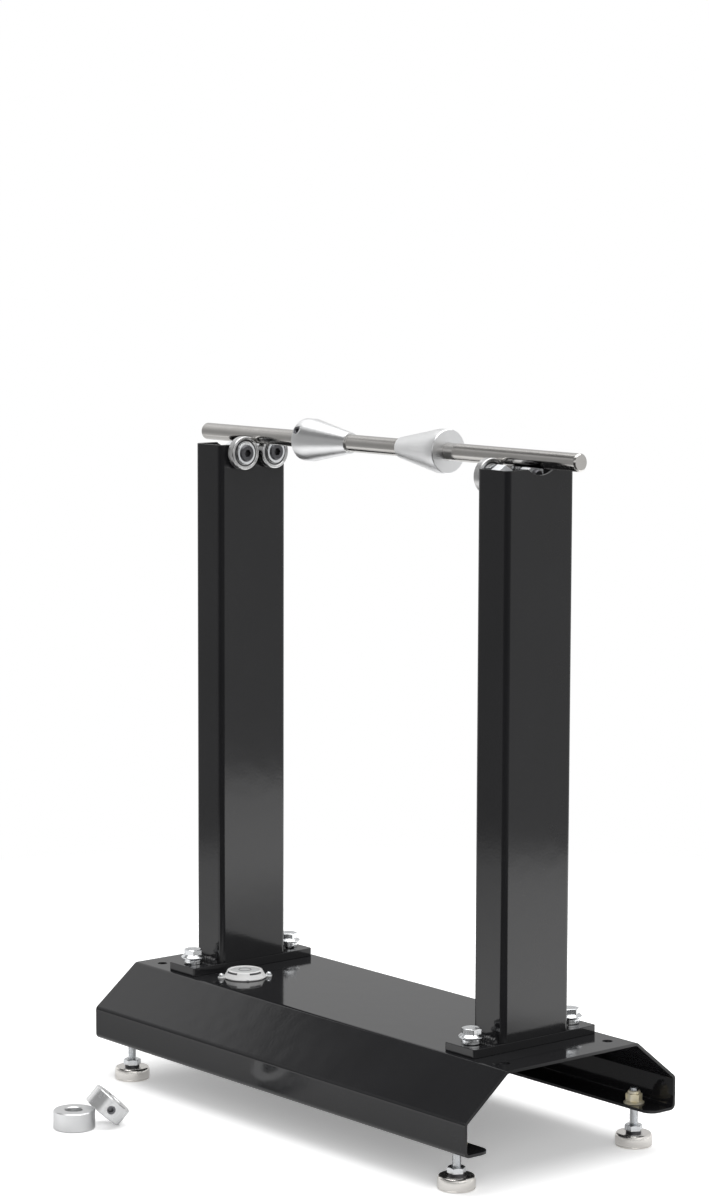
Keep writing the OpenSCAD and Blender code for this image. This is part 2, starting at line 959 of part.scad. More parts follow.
module level_screws() {
  color(zinc)
    at_level()
      at_level_ears()
        difference() {
          union() {
            translate([0, 0, ear_h])
              cylinder(d = level_screw_head_d, h = level_screw_head_h);
            translate([0, 0, ear_h - level_screw_length])
              cylinder(d = level_screw_d - 2 * thread_gap, h = level_screw_length + cut);
          }
          for (turn = [0, 90])
            translate([0, 0, ear_h + level_screw_head_h])
              rotate([0, 0, turn])
                cube([level_screw_d, recess_w, 2 * recess_depth], center = true);
        }
}

base_channel();
post_tube(front);  // front_post_tube
post_tube(rear);  // rear_post_tube
post_plate(front);  // front_post_plate
post_plate(rear);  // rear_post_plate
post_welds(front);  // front_post_welds
post_welds(rear);  // rear_post_welds
post_bolts();
post_spring_washers();
post_nuts();
roller_bolts();
roller_spacers();
roller_washers();
roller_nuts();
roller_inner_rings();
roller_ring(front, left);  // front_left_roller_ring
roller_ring(front, right);  // front_right_roller_ring
roller_ring(rear, left);  // rear_left_roller_ring
roller_ring(rear, right);  // rear_right_roller_ring
roller_shields(front, left);  // front_left_roller_shields
roller_shields(front, right);  // front_right_roller_shields
roller_shields(rear, left);  // rear_left_roller_shields
roller_shields(rear, right);  // rear_right_roller_shields
roller_balls(front, left);  // front_left_roller_balls
roller_balls(front, right);  // front_right_roller_balls
roller_balls(rear, left);  // rear_left_roller_balls
roller_balls(rear, right);  // rear_right_roller_balls
roller_cage(front, left);  // front_left_roller_cage
roller_cage(front, right);  // front_right_roller_cage
roller_cage(rear, left);  // rear_left_roller_cage
roller_cage(rear, right);  // rear_right_roller_cage
axle();
cone(front);  // front_cone
cone(rear);  // rear_cone
cone_screw(front);  // front_cone_screw
cone_screw(rear);  // rear_cone_screw
flat_collar();
leaning_collar();
flat_collar_screw();
leaning_collar_screw();
foot_pad(front, left);  // front_left_foot_pad
foot_pad(front, right);  // front_right_foot_pad
foot_pad(rear, left);  // rear_left_foot_pad
foot_pad(rear, right);  // rear_right_foot_pad
foot_stud(front, left);  // front_left_foot_stud
foot_stud(front, right);  // front_right_foot_stud
foot_stud(rear, left);  // rear_left_foot_stud
foot_stud(rear, right);  // rear_right_foot_stud
foot_hex(front, left);  // front_left_foot_hex
foot_hex(front, right);  // front_right_foot_hex
foot_hex(rear, left);  // rear_left_foot_hex
foot_hex(rear, right);  // rear_right_foot_hex
foot_lock_nuts();
level_housing();
level_lens();
level_liquid();
level_bubble();
level_ring();
level_screws();
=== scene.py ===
"""Wheel balancing stand: finished pieces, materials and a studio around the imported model."""

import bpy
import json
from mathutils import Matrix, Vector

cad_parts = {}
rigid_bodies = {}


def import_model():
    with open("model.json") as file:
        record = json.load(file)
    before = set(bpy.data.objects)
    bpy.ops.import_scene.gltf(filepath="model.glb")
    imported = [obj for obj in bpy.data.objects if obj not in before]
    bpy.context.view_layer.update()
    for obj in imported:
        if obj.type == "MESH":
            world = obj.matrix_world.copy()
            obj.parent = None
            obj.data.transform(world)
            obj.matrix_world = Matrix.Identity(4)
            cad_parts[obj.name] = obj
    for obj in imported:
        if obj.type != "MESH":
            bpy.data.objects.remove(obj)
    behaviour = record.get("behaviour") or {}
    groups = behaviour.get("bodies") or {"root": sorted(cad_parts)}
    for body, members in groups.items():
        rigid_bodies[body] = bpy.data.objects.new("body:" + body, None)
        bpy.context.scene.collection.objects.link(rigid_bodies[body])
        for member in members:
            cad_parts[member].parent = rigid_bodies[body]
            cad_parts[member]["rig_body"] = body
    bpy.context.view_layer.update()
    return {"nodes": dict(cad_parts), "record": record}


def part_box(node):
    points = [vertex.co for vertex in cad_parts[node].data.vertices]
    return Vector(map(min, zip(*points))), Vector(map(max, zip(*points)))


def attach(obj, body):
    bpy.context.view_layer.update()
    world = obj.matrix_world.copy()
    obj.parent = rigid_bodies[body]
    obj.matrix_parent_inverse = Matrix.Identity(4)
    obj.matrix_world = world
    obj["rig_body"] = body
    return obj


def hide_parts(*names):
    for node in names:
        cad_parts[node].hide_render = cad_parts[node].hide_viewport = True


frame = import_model()

import json
import math
from contextlib import contextmanager

import bmesh
import bpy
from bpy.props import FloatProperty, FloatVectorProperty, IntProperty, PointerProperty
from mathutils import Matrix, Vector

bl_info = {
    "name": "Wheel Balancing Stand",
    "version": (1, 0, 0),
    "blender": (4, 5, 0),
    "location": "View3D > Sidebar > Stand",
    "description": "Dresses the wheel balancing stand with finished pieces and materials",
    "category": "Object",
}

MM = 0.001
UM = 0.001 * MM
MERGE = UM  # points closer than this become one
LEVEL_GAP = 10 * UM  # heights closer than this count as the same
CUT_GAP = 1e-7  # points closer than this to a cut lie on it
QUARTER = math.pi / 2
FULL = 2 * math.pi
ENDS = ("front", "rear")
CORNERS = ("front_left", "front_right", "rear_left", "rear_right")

# Sizes of the fasteners.
POST_FLATS = 12 * MM
POST_THREAD = 4 * MM  # radius
POST_TURNS = (31, 59, 28, 46)  # degrees, at the four corners
WASHER_BORE = 4.4 * MM  # radius
NUT_FLATS = 10 * MM
NUT_BORE = 3.05 * MM  # radius
NECK_RADIUS = 5.25 * MM

# A thread's tooth: whether it is at full radius, and how far along the pitch.
TOOTH = ((False, 0), (False, 0.14), (True, 0.48), (True, 0.62), (False, 1))
TOOTH_DEPTH = 0.56  # of the pitch

# Outlines as (radius, height) in millimetres. profile() counts them from a rim or a top.
POST_FLANGE = ((-0.4, 0), (0, 0.4), (0, 1.0), (-0.4, 1.4))
PAD_SIDE = (
    (-0.8, 0), (-0.4, 0.15), (-0.2, 0.5), (-0.1, 1.2), (-0.22, 1.32), (-0.22, 1.5), (-0.08, 1.65),
    (-0.02, 3.2), (0, 4.6), (-0.02, 5.6), (-0.1, 6.6), (-0.25, 7.6), (-0.5, 8.4), (-0.95, 8.95),
    (-1.5, 9.2), (-3.5, 9.12),
)
NUT_FLANGE = ((-0.15, 0), (0, 0.15), (0, 0.8), (-0.25, 1.1), (-1.7, 1.9))
NUT_COLLAR = ((4.3, -0.7), (4.1, -0.25), (3.7, 0))
LEVEL_FOOT = ((0, 0), (14.7, 0), (15.2, 0.3), (15.35, 0.9))
LEVEL_WALL = (
    (13.75, -2.5), (13.4, -1.8), (12.75, -0.5), (12.45, -0.2), (12.0, -0.03), (11.4, 0),
    (10.85, -0.15), (10.6, -0.5), (10.6, -1.7), (9.4, -1.7),
)
LEVEL_WELL = ((9.4, 1.8), (0, 1.8))
LEVEL_EAR = ((1.5, 0), (2.5, 0), (2.5, 0.8), (2.3, 1.0), (1.5, 1.0))
LEVEL_SCREW = (
    (0, -5.4), (0.9, -5.4), (1.4, -4.9), (1.4, 1.0), (1.9, 1.0), (2.0, 1.3), (1.95, 2.0),
    (1.7, 2.7), (1.2, 3.25), (0.6, 3.5), (0, 3.55),
)
SLOT_LOW, SLOT_HIGH = -1.8, -0.5  # from the level's top
# Section of the dark piece of painted shade at the back of each slot.
SLOT_SHADE_SECTION = ((12.4, SLOT_LOW), (13.1, SLOT_LOW), (12.45, SLOT_HIGH), (11.8, SLOT_HIGH))
SLOT_RADIUS = 12.5 * MM  # the slots lie outside it
LENS_RADIUS = 10.4 * MM
DOME_RADIUS = 10.2 * MM

KEY_PLACE, KEY_SIZE = (0.0, 0.1, 1.95), 2.5
FILL_PLACE, FILL_SIZE = (1.7, -1.1, 1.0), 1.2
LAMP_AIM = Vector((0, 0, 0.15))
CAMERA_X, CAMERA_Y = 0.76, 0.64  # way to the camera: along X, and against Y


def length(label, text, value):
    """A length in metres that a user can change, with its default in millimetres."""
    return FloatProperty(
        name=label, description=text, default=value * MM, min=0, unit="LENGTH", precision=5
    )


def angle(label, text, value):
    """An angle that a user can change, with its default in degrees."""
    return FloatProperty(name=label, description=text, default=math.radians(value), subtype="ANGLE")


def vector(label, text, value, **kind):
    """A few numbers that a user can change together."""
    return FloatVectorProperty(name=label, description=text, default=value, size=len(value), **kind)


def colour(label, text, value):
    """A colour that a user can change."""
    return vector(label, text, value, min=0, max=1, subtype="COLOR")


def number(label, text, value):
    """A plain number that a user can change."""
    return FloatProperty(name=label, description=text, default=value, min=0)


class StandSizes(bpy.types.PropertyGroup):
    """Sizes of the details that the finished pieces add."""

    sheet_edge: length("Sheet edge", "Roundness of the coated sheet's cut edges", 0.45)
    plate_edge: length("Plate edge", "Roundness of the foot plates' edges", 0.6)
    metal_edge: length("Metal edge", "Roundness of turned and plated edges", 0.2)
    weld_pitch: length("Weld pitch", "Distance between the ripples of a weld", 2.6)
    weld_grain: length("Weld grain", "Size of the cells that melt a weld together", 0.35)
    stud_pitch: length("Stud pitch", "Thread pitch of the feet's studs", 1.0)
    post_pitch: length("Post bolt pitch", "Thread pitch of the post bolts", 1.25)
    roller_pitch: length("Roller pin pitch", "Thread pitch of the roller pins", 1.25)
    head_dish: length("Head dish", "Depth of the dish in a bolt's head", 0.5)
    shield_rib: length("Shield rib", "Depth of the pressed rib in a bearing's shield", 0.2)
    roller_pin: length("Roller pin", "Diameter of a roller pin where it carries its bearing", 11.9)
    roller_thread: length("Roller pin thread", "Diameter of a roller pin's thread", 7.9)
    roller_socket: length("Roller pin socket", "Size across the flats of a roller pin's socket", 5)
    lens_rise: length("Lens rise", "Height of the level lens's dome", 0.35)
    slot_turn: angle("Slot turn", "Where the first slot in the level's wall starts", -84)
    slot_arc: angle("Slot arc", "How far a slot in the level's wall reaches", 49)
    steps: IntProperty(
        name="Turning steps", description="Faces around a turned piece", default=96, min=24, max=192
    )


class StandColours(bpy.types.PropertyGroup):
    """Colours of the stand's finishes."""

    coat: colour("Coat", "Black powder coat", (0.011, 0.011, 0.012))
    coat_dust: colour("Dust", "Fine dust on the coat", (0.16, 0.16, 0.165))
    zinc: colour("Zinc", "Bright zinc plate", (0.86, 0.86, 0.85))
    zinc_tint: colour("Zinc tint", "Faint tint of the zinc plate", (0.76, 0.79, 0.83))
    yellow_zinc: colour("Yellow zinc", "Yellow zinc of the lock nuts", (1.0, 0.84, 0.42))
    nickel: colour("Nickel", "Nickel of the foot pads", (0.94, 0.915, 0.88))
    nickel_tint: colour("Nickel tint", "Darker tint of the nickel", (0.88, 0.85, 0.81))
    steel: colour("Bearing steel", "Ground steel of the bearings", (0.68, 0.69, 0.71))
    steel_tint: colour("Steel tint", "Oil film on the bearing steel", (0.56, 0.55, 0.53))
    axle: colour("Axle", "Polished steel of the axle", (0.66, 0.65, 0.64))
    axle_tint: colour("Axle tint", "Hand marks on the axle", (0.52, 0.5, 0.47))
    aluminium: colour("Aluminium", "Turned aluminium", (0.92, 0.92, 0.92))
    aluminium_tint: colour("Aluminium tint", "Tool marks in the aluminium", (0.82, 0.83, 0.84))
    oxide: colour("Black oxide", "Black oxide of pins and screws", (0.075, 0.075, 0.08))
    plastic: colour("Plastic", "White plastic of the level", (0.88, 0.88, 0.875))
    # The mark colour also paints shade: the dark slot backs of the level and the dark ring on the
    # bearing shields.
    mark: colour("Mark", "Dark marks on the level", (0.03, 0.03, 0.032))
    lens: colour("Lens", "Clear lens of the level", (0.95, 0.96, 0.96))
    liquid: colour("Liquid", "Liquid in the level", (0.86, 0.89, 0.84))


class StudioSettings(bpy.types.PropertyGroup):
    """Camera, floor and light."""

    camera_place: vector(
        "Camera place", "Where the camera stands", (1.7514, -1.47768, 0.62853), unit="LENGTH"
    )
    camera_turn: vector(
        "Camera turn", "How the camera is turned", (1.455014, -0.003001, 0.876702), subtype="EULER"
    )
    camera_lens: number("Lens", "Focal length in millimetres on a 36 mm frame", 99.972)
    floor_radius: length("Floor radius", "Radius of the floor disc", 1900)
    floor_white: number("Floor white", "Share of light that the floor throws back", 0.8)
    floor_glow: number("Floor glow", "Added white of the floor towards the camera", 0.28)
    floor_gain: number("Floor gain", "How much whiter the lit floor looks to the camera", 0.5)
    floor_dim: number("Floor dim", "How much darker the lit floor looks in gloss", 0.2)
    floor_sheen: number("Floor sheen", "Added white of the floor in gloss, at its brightest", 1.74)
    floor_edge: vector(
        "Floor edge", "Middle of the floor that gloss shows", (0.065, 0.055), unit="LENGTH"
    )
    ambient: number("Ambient", "Even light from all round", 0.42)
    key_power: number("Key light", "Power of the large soft light above, in watts", 36.0)
    fill_power: number("Fill light", "Power of the soft light beside the camera, in watts", 11.0)


def assign(owner, **settings):
    for key, value in settings.items():
        setattr(owner, key, value)


def arithmetic(operation, swapped=False):
    """A method of Value that adds one Math node, swapped for a number on its left."""
    def method(self, other):
        return self.maths(operation, *((other, self) if swapped else (self, other)))
    return method


class Value:
    """A socket in a finish. Arithmetic on it adds Math nodes."""

    def __init__(self, finish, socket):
        self.finish = finish
        self.socket = socket

    def maths(self, operation, *terms):
        return self.finish.add("Math", dict(enumerate(terms)), operation=operation)

    __add__ = arithmetic("ADD")
    __radd__ = arithmetic("ADD", True)
    __sub__ = arithmetic("SUBTRACT")
    __rsub__ = arithmetic("SUBTRACT", True)
    __mul__ = arithmetic("MULTIPLY")
    __truediv__ = arithmetic("DIVIDE")
    __pow__ = arithmetic("POWER")


class Finish:
    """A node tree that is being filled: a material's or the world's."""

    def __init__(self, owner):
        owner.use_nodes = True
        self.tree = owner.node_tree
        self.tree.nodes.clear()

    def add(self, kind, inputs=None, output=0, **settings):
        """Adds one node, sets it, feeds its sockets and gives back one of its outputs."""
        node = self.tree.nodes.new("ShaderNode" + kind)
        assign(node, **settings)
        for key, value in (inputs or {}).items():
            if isinstance(value, Value):
                self.tree.links.new(value.socket, node.inputs[key])
            elif isinstance(node.inputs[key].default_value, float):
                node.inputs[key].default_value = value
            else:
                room = len(node.inputs[key].default_value)
                node.inputs[key].default_value = (tuple(value) + (1.0,))[:room]
        return Value(self, node.outputs[output])

    def place(self):
        """Object coordinates, in metres."""
        return self.add("TexCoord", output="Object")

    def noise(self, place, scale, detail=2.0, stretch=None):
        """Soft noise from 0 to 1 with a grain of 1 / scale metres."""
        if stretch:
            place = self.add("Mapping", {"Vector": place, "Scale": stretch})
        return self.add("TexNoise", {"Vector": place, "Scale": scale, "Detail": detail})

    def lines(self, position, scale):
        """Noise along one length only, as a turning tool leaves it."""
        return self.add("TexNoise", {"W": position, "Scale": scale}, noise_dimensions="1D")

    def ramp(self, value, *stops):
        """A grey that follows a value through stops of (value, grey)."""
        grey = self.add("ValToRGB", {"Fac": value})
        elements = grey.socket.node.color_ramp.elements
        while len(elements) < len(stops):
            elements.new(0.5)
        for element, (place, level) in zip(elements, stops):
            element.position = place
            element.color = (level, level, level, 1)
        return grey

    def mix(self, factor, first, second):
        """A colour between two colours."""
        return self.add("Mix", {0: factor, 6: first, 7: second}, 2, data_type="RGBA")

    def split(self, place):
        node = self.add("SeparateXYZ", {0: place}).socket.node
        return [Value(self, socket) for socket in node.outputs]

    def rays(self, *kinds):
        """One value for each kind of ray: 1 for such a ray, else 0."""
        outputs = self.add("LightPath").socket.node.outputs
        return [Value(self, outputs[f"Is {kind} Ray"]) for kind in kinds]

    def bump(self, height, depth):
        return self.add("Bump", {"Height": height, "Distance": depth})

    def surface(self, shader, output="OutputMaterial"):
        """Ends the finish with a shader."""
        node = self.tree.nodes.new("ShaderNode" + output)
        self.tree.links.new(shader.socket, node.inputs["Surface"])

    def principled(self, **inputs):
        """Ends the finish with one surface shader."""
        named = {key.replace("_", " "): value for key, value in inputs.items()}
        self.surface(self.add("BsdfPrincipled", named))


FINISHES = {}


def finish(name):
    """Starts a material and lists it under its name."""
    FINISHES[name] = bpy.data.materials.new(name)
    return Finish(FINISHES[name])


def scaled(tone, factor):
    return [c * factor for c in tone]


def distance(x, y):
    """Nodes for the distance of a place from the origin."""
    return (x * x + y * y) ** 0.5


def around(f, centre, turn, mirrored):
    """Place seen from an axis: distance from it and position along it."""
    place = f.place()
    if mirrored:
        place = f.add("VectorMath", {0: place}, operation="ABSOLUTE")
    seen = {"Vector": place, "Location": centre, "Rotation": turn}
    x, y, z = f.split(f.add("Mapping", seen, vector_type="TEXTURE"))
    return distance(x, y), z


def black_coat(colours):
    """Glossy powder coat: orange peel, a slow wave and a little dust."""
    f = finish("black_coat")
    place = f.place()
    cloud = f.noise(place, 14, 3)
    peel = f.noise(place, 520, 1)
    wave = f.noise(place, 85, 0)
    specks = f.ramp(f.noise(place, 2300, 0), (0.78, 0), (0.85, 1))
    dust = specks * f.ramp(cloud, (0.45, 0), (0.75, 1))
    tone = f.mix(cloud, colours.coat, scaled(colours.coat, 1.5))
    f.principled(
        Base_Color=f.mix(dust * 0.6, tone, colours.coat_dust),
        Roughness=0.06 + cloud * 0.07 + dust * 0.4,
        IOR=1.43,
        Normal=f.bump(peel + wave * 2.5, 12 * UM),
    )


def plated(name, first, second, rough, metal=1.0):
    """Bright plate: cloudy tint, fine random scratches and soft dimples."""
    f = finish(name)
    place = f.place()
    cloud = f.noise(place, 160, 3)
    fine = f.noise(place, 2600, 2, (1, 1, 0.25))
    f.principled(
        Base_Color=f.mix(cloud, first, second),
        Metallic=metal,
        Roughness=rough + cloud * 0.12 + fine * 0.08,
        Normal=f.bump(fine + cloud * 3, 4 * UM),
    )


def turned_metal(
    name, tones, rough, centre, turn=(0, 0, 0), mirrored=False, depth=5 * UM, metal=1.0
):
    """Metal off the lathe: fine rings round an axis on its sides and faces."""
    f = finish(name)
    radius, along = around(f, centre, turn, mirrored)
    rings, broad = (
        f.lines(radius, scale) * 0.5 + f.lines(along, scale) * 0.5 for scale in (9000, 900)
    )
    smear = f.noise(f.place(), 90, 3)
    f.principled(
        Base_Color=f.mix(rings * 0.5 + smear * 0.5, *tones),
        Metallic=metal,
        Roughness=rough + smear * 0.1 + rings * 0.12,
        Normal=f.bump(rings + broad * 2, depth),
    )


def shield_steel(colours, centre, turn):
    """Pressed sheet with a dark ring of painted shade by its groove."""
    f = finish("shield_steel")
    radius = around(f, centre, turn, mirrored=True)[0]
    smear = f.noise(f.place(), 300, 3)
    # Painted shade: a dark ring about 8.4 to 9.7 mm from the middle, in the mark colour.
    gap_shade = f.ramp(radius * 50, (0.418, 0), (0.425, 1), (0.478, 1), (0.486, 0))
    tone = f.mix(smear, colours.steel, colours.steel_tint)
    f.principled(
        Base_Color=f.mix(gap_shade * 0.92, tone, colours.mark),
        Metallic=1.0,
        Roughness=0.18 + smear * 0.1 + gap_shade * 0.15,
        Normal=f.bump(smear, 4 * UM),
    )


def black_oxide(name, tone):
    """Blackened steel with a thin oil film."""
    f = finish(name)
    cloud = f.noise(f.place(), 700, 3)
    f.principled(
        Base_Color=f.mix(cloud, tone, scaled(tone, 1.8)),
        Metallic=0.9,
        Roughness=0.3 + cloud * 0.2,
        Normal=f.bump(cloud, 10 * UM),
    )


def white_plastic(colours):
    """Glossy moulded plastic with faint flow marks."""
    f = finish("white_plastic")
    place = f.place()
    flow = f.noise(place, 120, 3)
    grain = f.noise(place, 3000, 1)
    f.principled(
        Base_Color=f.mix(flow, colours.plastic, scaled(colours.plastic, 0.93)),
        Roughness=0.22 + flow * 0.14,
        Normal=f.bump(grain + flow * 2, 8 * UM),
    )


def dark_print_and_shade(colours):
    """Matt dark ink of the level's print, also used as painted shade at the backs of its slots."""
    f = finish("mark_black")
    grain = f.noise(f.place(), 2200, 2)
    f.principled(
        Base_Color=f.mix(grain, colours.mark, scaled(colours.mark, 2)),
        Roughness=0.45 + grain * 0.2,
    )


def clear(name, tone, alpha):
    """Clear plastic, liquid or air: see-through, with a faint haze."""
    f = finish(name)
    haze = f.noise(f.place(), 240, 3)
    f.principled(
        Base_Color=f.mix(haze, tone, scaled(tone, 0.92)),
        Roughness=0.04 + haze * 0.06,
        Alpha=alpha + haze * 0.06,
    )


def make_finishes(colours):
    """Makes each finish of the stand once."""
    along_x = (0, QUARTER, 0)
    roller = middle("front_right_roller_ring")
    pad = middle("front_right_foot_pad")
    flat = middle("flat_collar")
    axle = (0, 0, middle("axle").z)
    zinc = (colours.zinc, colours.zinc_tint)
    steel = (colours.steel, colours.steel_tint)
    polish = (colours.axle, colours.axle_tint)
    nickel = (colours.nickel, colours.nickel_tint)
    aluminium = (colours.aluminium, colours.aluminium_tint)
    # Painted shade: a darker copy of the aluminium for the flat collar.
    shaded_aluminium = [scaled(tone, 0.93) for tone in aluminium]
    black_coat(colours)
    plated("zinc_plate", *zinc, rough=0.16)
    # Painted light: a less metallic copy of the zinc plate, which looks brighter, for the roller
    # nuts in the shade of the posts.
    plated("lit_zinc", *zinc, rough=0.2, metal=0.5)
    plated("yellow_zinc", colours.yellow_zinc, colours.zinc, rough=0.24, metal=0.45)
    turned_metal("bearing_steel", steel, 0.16, roller, along_x, mirrored=True, depth=2 * UM)
    shield_steel(colours, roller, along_x)
    turned_metal("polished_steel", polish, 0.05, axle, along_x, depth=1.2 * UM)
    turned_metal("nickel_plate", nickel, 0.12, pad, mirrored=True, depth=1.5 * UM)
    turned_metal("cone_aluminium", aluminium, 0.24, axle, along_x)
    turned_metal("flat_collar_aluminium", shaded_aluminium, 0.28, (flat.x, flat.y, 0))
    turned_metal("leaning_collar_aluminium", aluminium, 0.14, *leaning_axis(), metal=0.72)
    black_oxide("black_oxide", colours.oxide)
    # Painted light: a lighter copy of the black oxide for the clamping screws, to show highlights
    # round their sockets.
    black_oxide("lit_oxide", scaled(colours.oxide, 1.9))
    white_plastic(colours)
    dark_print_and_shade(colours)
    clear("clear_plastic", colours.lens, alpha=0.65)
    clear("level_fluid", colours.liquid, alpha=0.25)
    clear("bubble_air", colours.lens, alpha=0.3)


def leaning_axis():
    """Middle and turn of the leaning collar, from its mount in the record."""
    mount = next(m for m in frame["record"]["mounts"] if m["name"] == "leaning_collar_bore")
    turn = Vector((0, 0, 1)).rotation_difference(Vector(mount["axis"])).to_euler()
    return mount["pos_m"], turn


def only(piece):
    """Selects one piece alone in object mode."""
    if bpy.context.object and bpy.context.object.mode != "OBJECT":
        bpy.ops.object.mode_set(mode="OBJECT")
    bpy.ops.object.select_all(action="DESELECT")
    piece.select_set(True)
    bpy.context.view_layer.objects.active = piece


def new(name, add, **settings):
    """Adds one object by its operator and names it."""
    bpy.ops.object.select_all(action="DESELECT")
    add(**settings)
    bpy.context.object.name = name
    return bpy.context.object


@contextmanager
def editing(piece):
    """Edit mode on one piece, with everything selected."""
    only(piece)
    bpy.ops.object.mode_set(mode="EDIT")
    bpy.ops.mesh.select_mode(type="VERT")
    bpy.ops.mesh.select_all(action="SELECT")
    yield
    bpy.ops.object.mode_set(mode="OBJECT")


def pick(piece, kind, wanted):
    """Selects, in edit mode, the vertices, edges or faces that a test wants."""
    bpy.ops.mesh.select_mode(type=kind)
    bpy.ops.mesh.select_all(action="DESELECT")
    shape = bmesh.from_edit_mesh(piece.data)
    for item in {"VERT": shape.verts, "EDGE": shape.edges, "FACE": shape.faces}[kind]:
        if wanted(item):
            item.select_set(True)
    shape.select_flush_mode()
    bmesh.update_edit_mesh(piece.data)


def face_out():
    """Turns all faces outward, in edit mode."""
    bpy.ops.mesh.select_all(action="SELECT")
    bpy.ops.mesh.normals_make_consistent(inside=False)


def cut_off(place, normal):
    """Cuts off what lies past a plane and closes the cut, in edit mode."""
    bpy.ops.mesh.select_all(action="SELECT")
    bpy.ops.mesh.bisect(
        plane_co=place, plane_no=normal, use_fill=True, clear_outer=True, threshold=CUT_GAP
    )


def spin_round(steps, turn):
    """Spins the selection about Z and merges where it meets itself, in edit mode."""
    bpy.ops.mesh.spin(steps=steps, angle=turn, center=(0, 0, 0), axis=(0, 0, 1))
    bpy.ops.mesh.select_all(action="SELECT")
    bpy.ops.mesh.remove_doubles(threshold=MERGE)
    face_out()


def modify(piece, kind, **settings):
    """Adds one modifier to a piece and applies it."""
    only(piece)
    modifier = piece.modifiers.new(kind, kind)
    assign(modifier, **settings)
    bpy.ops.object.modifier_apply(modifier=modifier.name)


def combine(piece, tool, operation):
    """Cuts, joins or crosses a piece with a tool, which is used up."""
    modify(piece, "BOOLEAN", operation=operation, object=tool, solver="EXACT")
    bpy.data.objects.remove(tool)


def coil(piece, pitch, turns, steps):
    """Winds an outline about Z."""
    modify(
        piece, "SCREW", axis="Z", angle=FULL, screw_offset=pitch, iterations=turns, steps=steps,
        render_steps=steps, use_merge_vertices=True, merge_threshold=MERGE,
    )


def join(piece, *others):
    only(piece)
    for other in others:
        other.select_set(True)
    bpy.ops.object.join()


def soften(piece, width, segments=2, angle=40):
    """Rounds a piece's sharp edges and shades it."""
    if width:
        modify(
            piece, "BEVEL", width=width, segments=segments, limit_method="ANGLE",
            angle_limit=math.radians(angle), use_clamp_overlap=True, miter_outer="MITER_ARC",
        )
    shade(piece)


def smooth(piece, angle):
    """Smooth shading where faces meet at less than an angle in degrees."""
    only(piece)
    bpy.ops.object.shade_smooth_by_angle(angle=math.radians(angle))


def shade(piece, angle=35):
    """Smooth shading on curves, with flat faces kept flat."""
    smooth(piece, angle)
    modify(piece, "WEIGHTED_NORMAL", mode="FACE_AREA", weight=100, keep_sharp=True)


def flatten():
    """Dissolves edges between faces that lie in one plane, in edit mode."""
    bpy.ops.mesh.dissolve_limited(angle_limit=math.radians(0.6))


def settle(piece):
    """Moves a piece's place into its mesh."""
    only(piece)
    bpy.ops.object.transform_apply(location=True, rotation=True, scale=True)


def dress(piece, look, body, *nodes, slot=None):
    """Gives a piece its finish, its body and the nodes that it stands for."""
    piece.data.materials.clear()
    piece.data.materials.append(FINISHES[look])
    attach(piece, body)
    if nodes:
        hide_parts(*nodes)


def refine(node, edge, look, slot=None, segments=2):
    """A node's own shape with merged points, rounded edges and its finish."""
    only(frame["nodes"][node])
    bpy.ops.object.duplicate()
    piece = bpy.context.object
    piece.name = node + "_piece"
    piece.parent = None
    for key in list(piece.keys()):
        del piece[key]
    with editing(piece):
        bpy.ops.mesh.remove_doubles(threshold=2 * MERGE)
        bpy.ops.mesh.select_all(action="SELECT")
        flatten()
    soften(piece, edge, segments)
    dress(piece, look, frame["nodes"][node]["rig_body"], node, slot=slot)


def coat_node(node, look):
    """Gives a node that is hidden inside others its finish."""
    materials = frame["nodes"][node].data.materials
    materials.clear()
    materials.append(FINISHES[look])


def profile(points, rim=0, top=0):
    """An outline in metres from one in millimetres, counted from a rim or a top."""
    return [(rim + radius * MM, top + height * MM) for radius, height in points]


def outline(name, points, closed=False):
    """Draws a line through points (radius, height) by extruding one vertex."""
    piece = new(name, bpy.ops.mesh.primitive_plane_add, size=MM)
    with editing(piece):
        bpy.ops.mesh.merge(type="CENTER")
        at = Vector((0, 0, 0))
        for k, (radius, height) in enumerate(points):
            step = Vector((radius, 0, height)) - at
            at += step
            if k:
                bpy.ops.mesh.extrude_vertices_move(TRANSFORM_OT_translate={"value": step})
            elif step.length:
                bpy.ops.transform.translate(value=step)
        if closed:
            ends = (Vector((points[0][0], 0, points[0][1])), at)
            pick(piece, "VERT", lambda v: any((v.co - e).length < CUT_GAP for e in ends))
            bpy.ops.mesh.edge_face_add()
    return piece


def turned(name, points, steps=48, closed=False):
    """A piece off the lathe: an outline spun round the Z axis."""
    piece = outline(name, points, closed)
    with editing(piece):
        spin_round(steps, FULL)
    return piece


def threaded_rod(name, radius, pitch, low, high, chamfer=0.8 * MM, steps=40):
    """A rod along Z with a helical thread and turned-off ends."""
    root = radius - TOOTH_DEPTH * pitch
    start = low - pitch
    tooth = [(radius if full else root, start + share * pitch) for full, share in TOOTH]
    rod = outline(name, tooth)
    coil(rod, pitch, math.ceil((high - low) / pitch) + 2, steps)
    with editing(rod):
        bpy.ops.mesh.remove_doubles(threshold=MERGE)
        for height, side in ((low, -1), (high, 1)):
            cut_off((0, 0, height), (0, 0, side))
        face_out()
    tip = radius - chamfer
    wide = radius + 0.02 * MM
    stock = (
        (0, low), (tip, low), (wide, low + chamfer), (wide, high - chamfer), (tip, high), (0, high)
    )
    combine(rod, turned(name + "_stock", stock, steps), "INTERSECT")
    smooth(rod, angle=30)
    return rod


def spread(piece, places, look, slot=None):
    """Dressed copies of a piece, one at each place (name, matrix, body, nodes it stands for)."""
    for name, matrix, body, *nodes in places:
        only(piece)
        bpy.ops.object.duplicate()
        copy = bpy.context.object
        copy.name = name
        copy.matrix_world = matrix @ copy.matrix_world
        settle(copy)
        dress(copy, look, body, *nodes, slot=slot)
    bpy.data.objects.remove(piece)


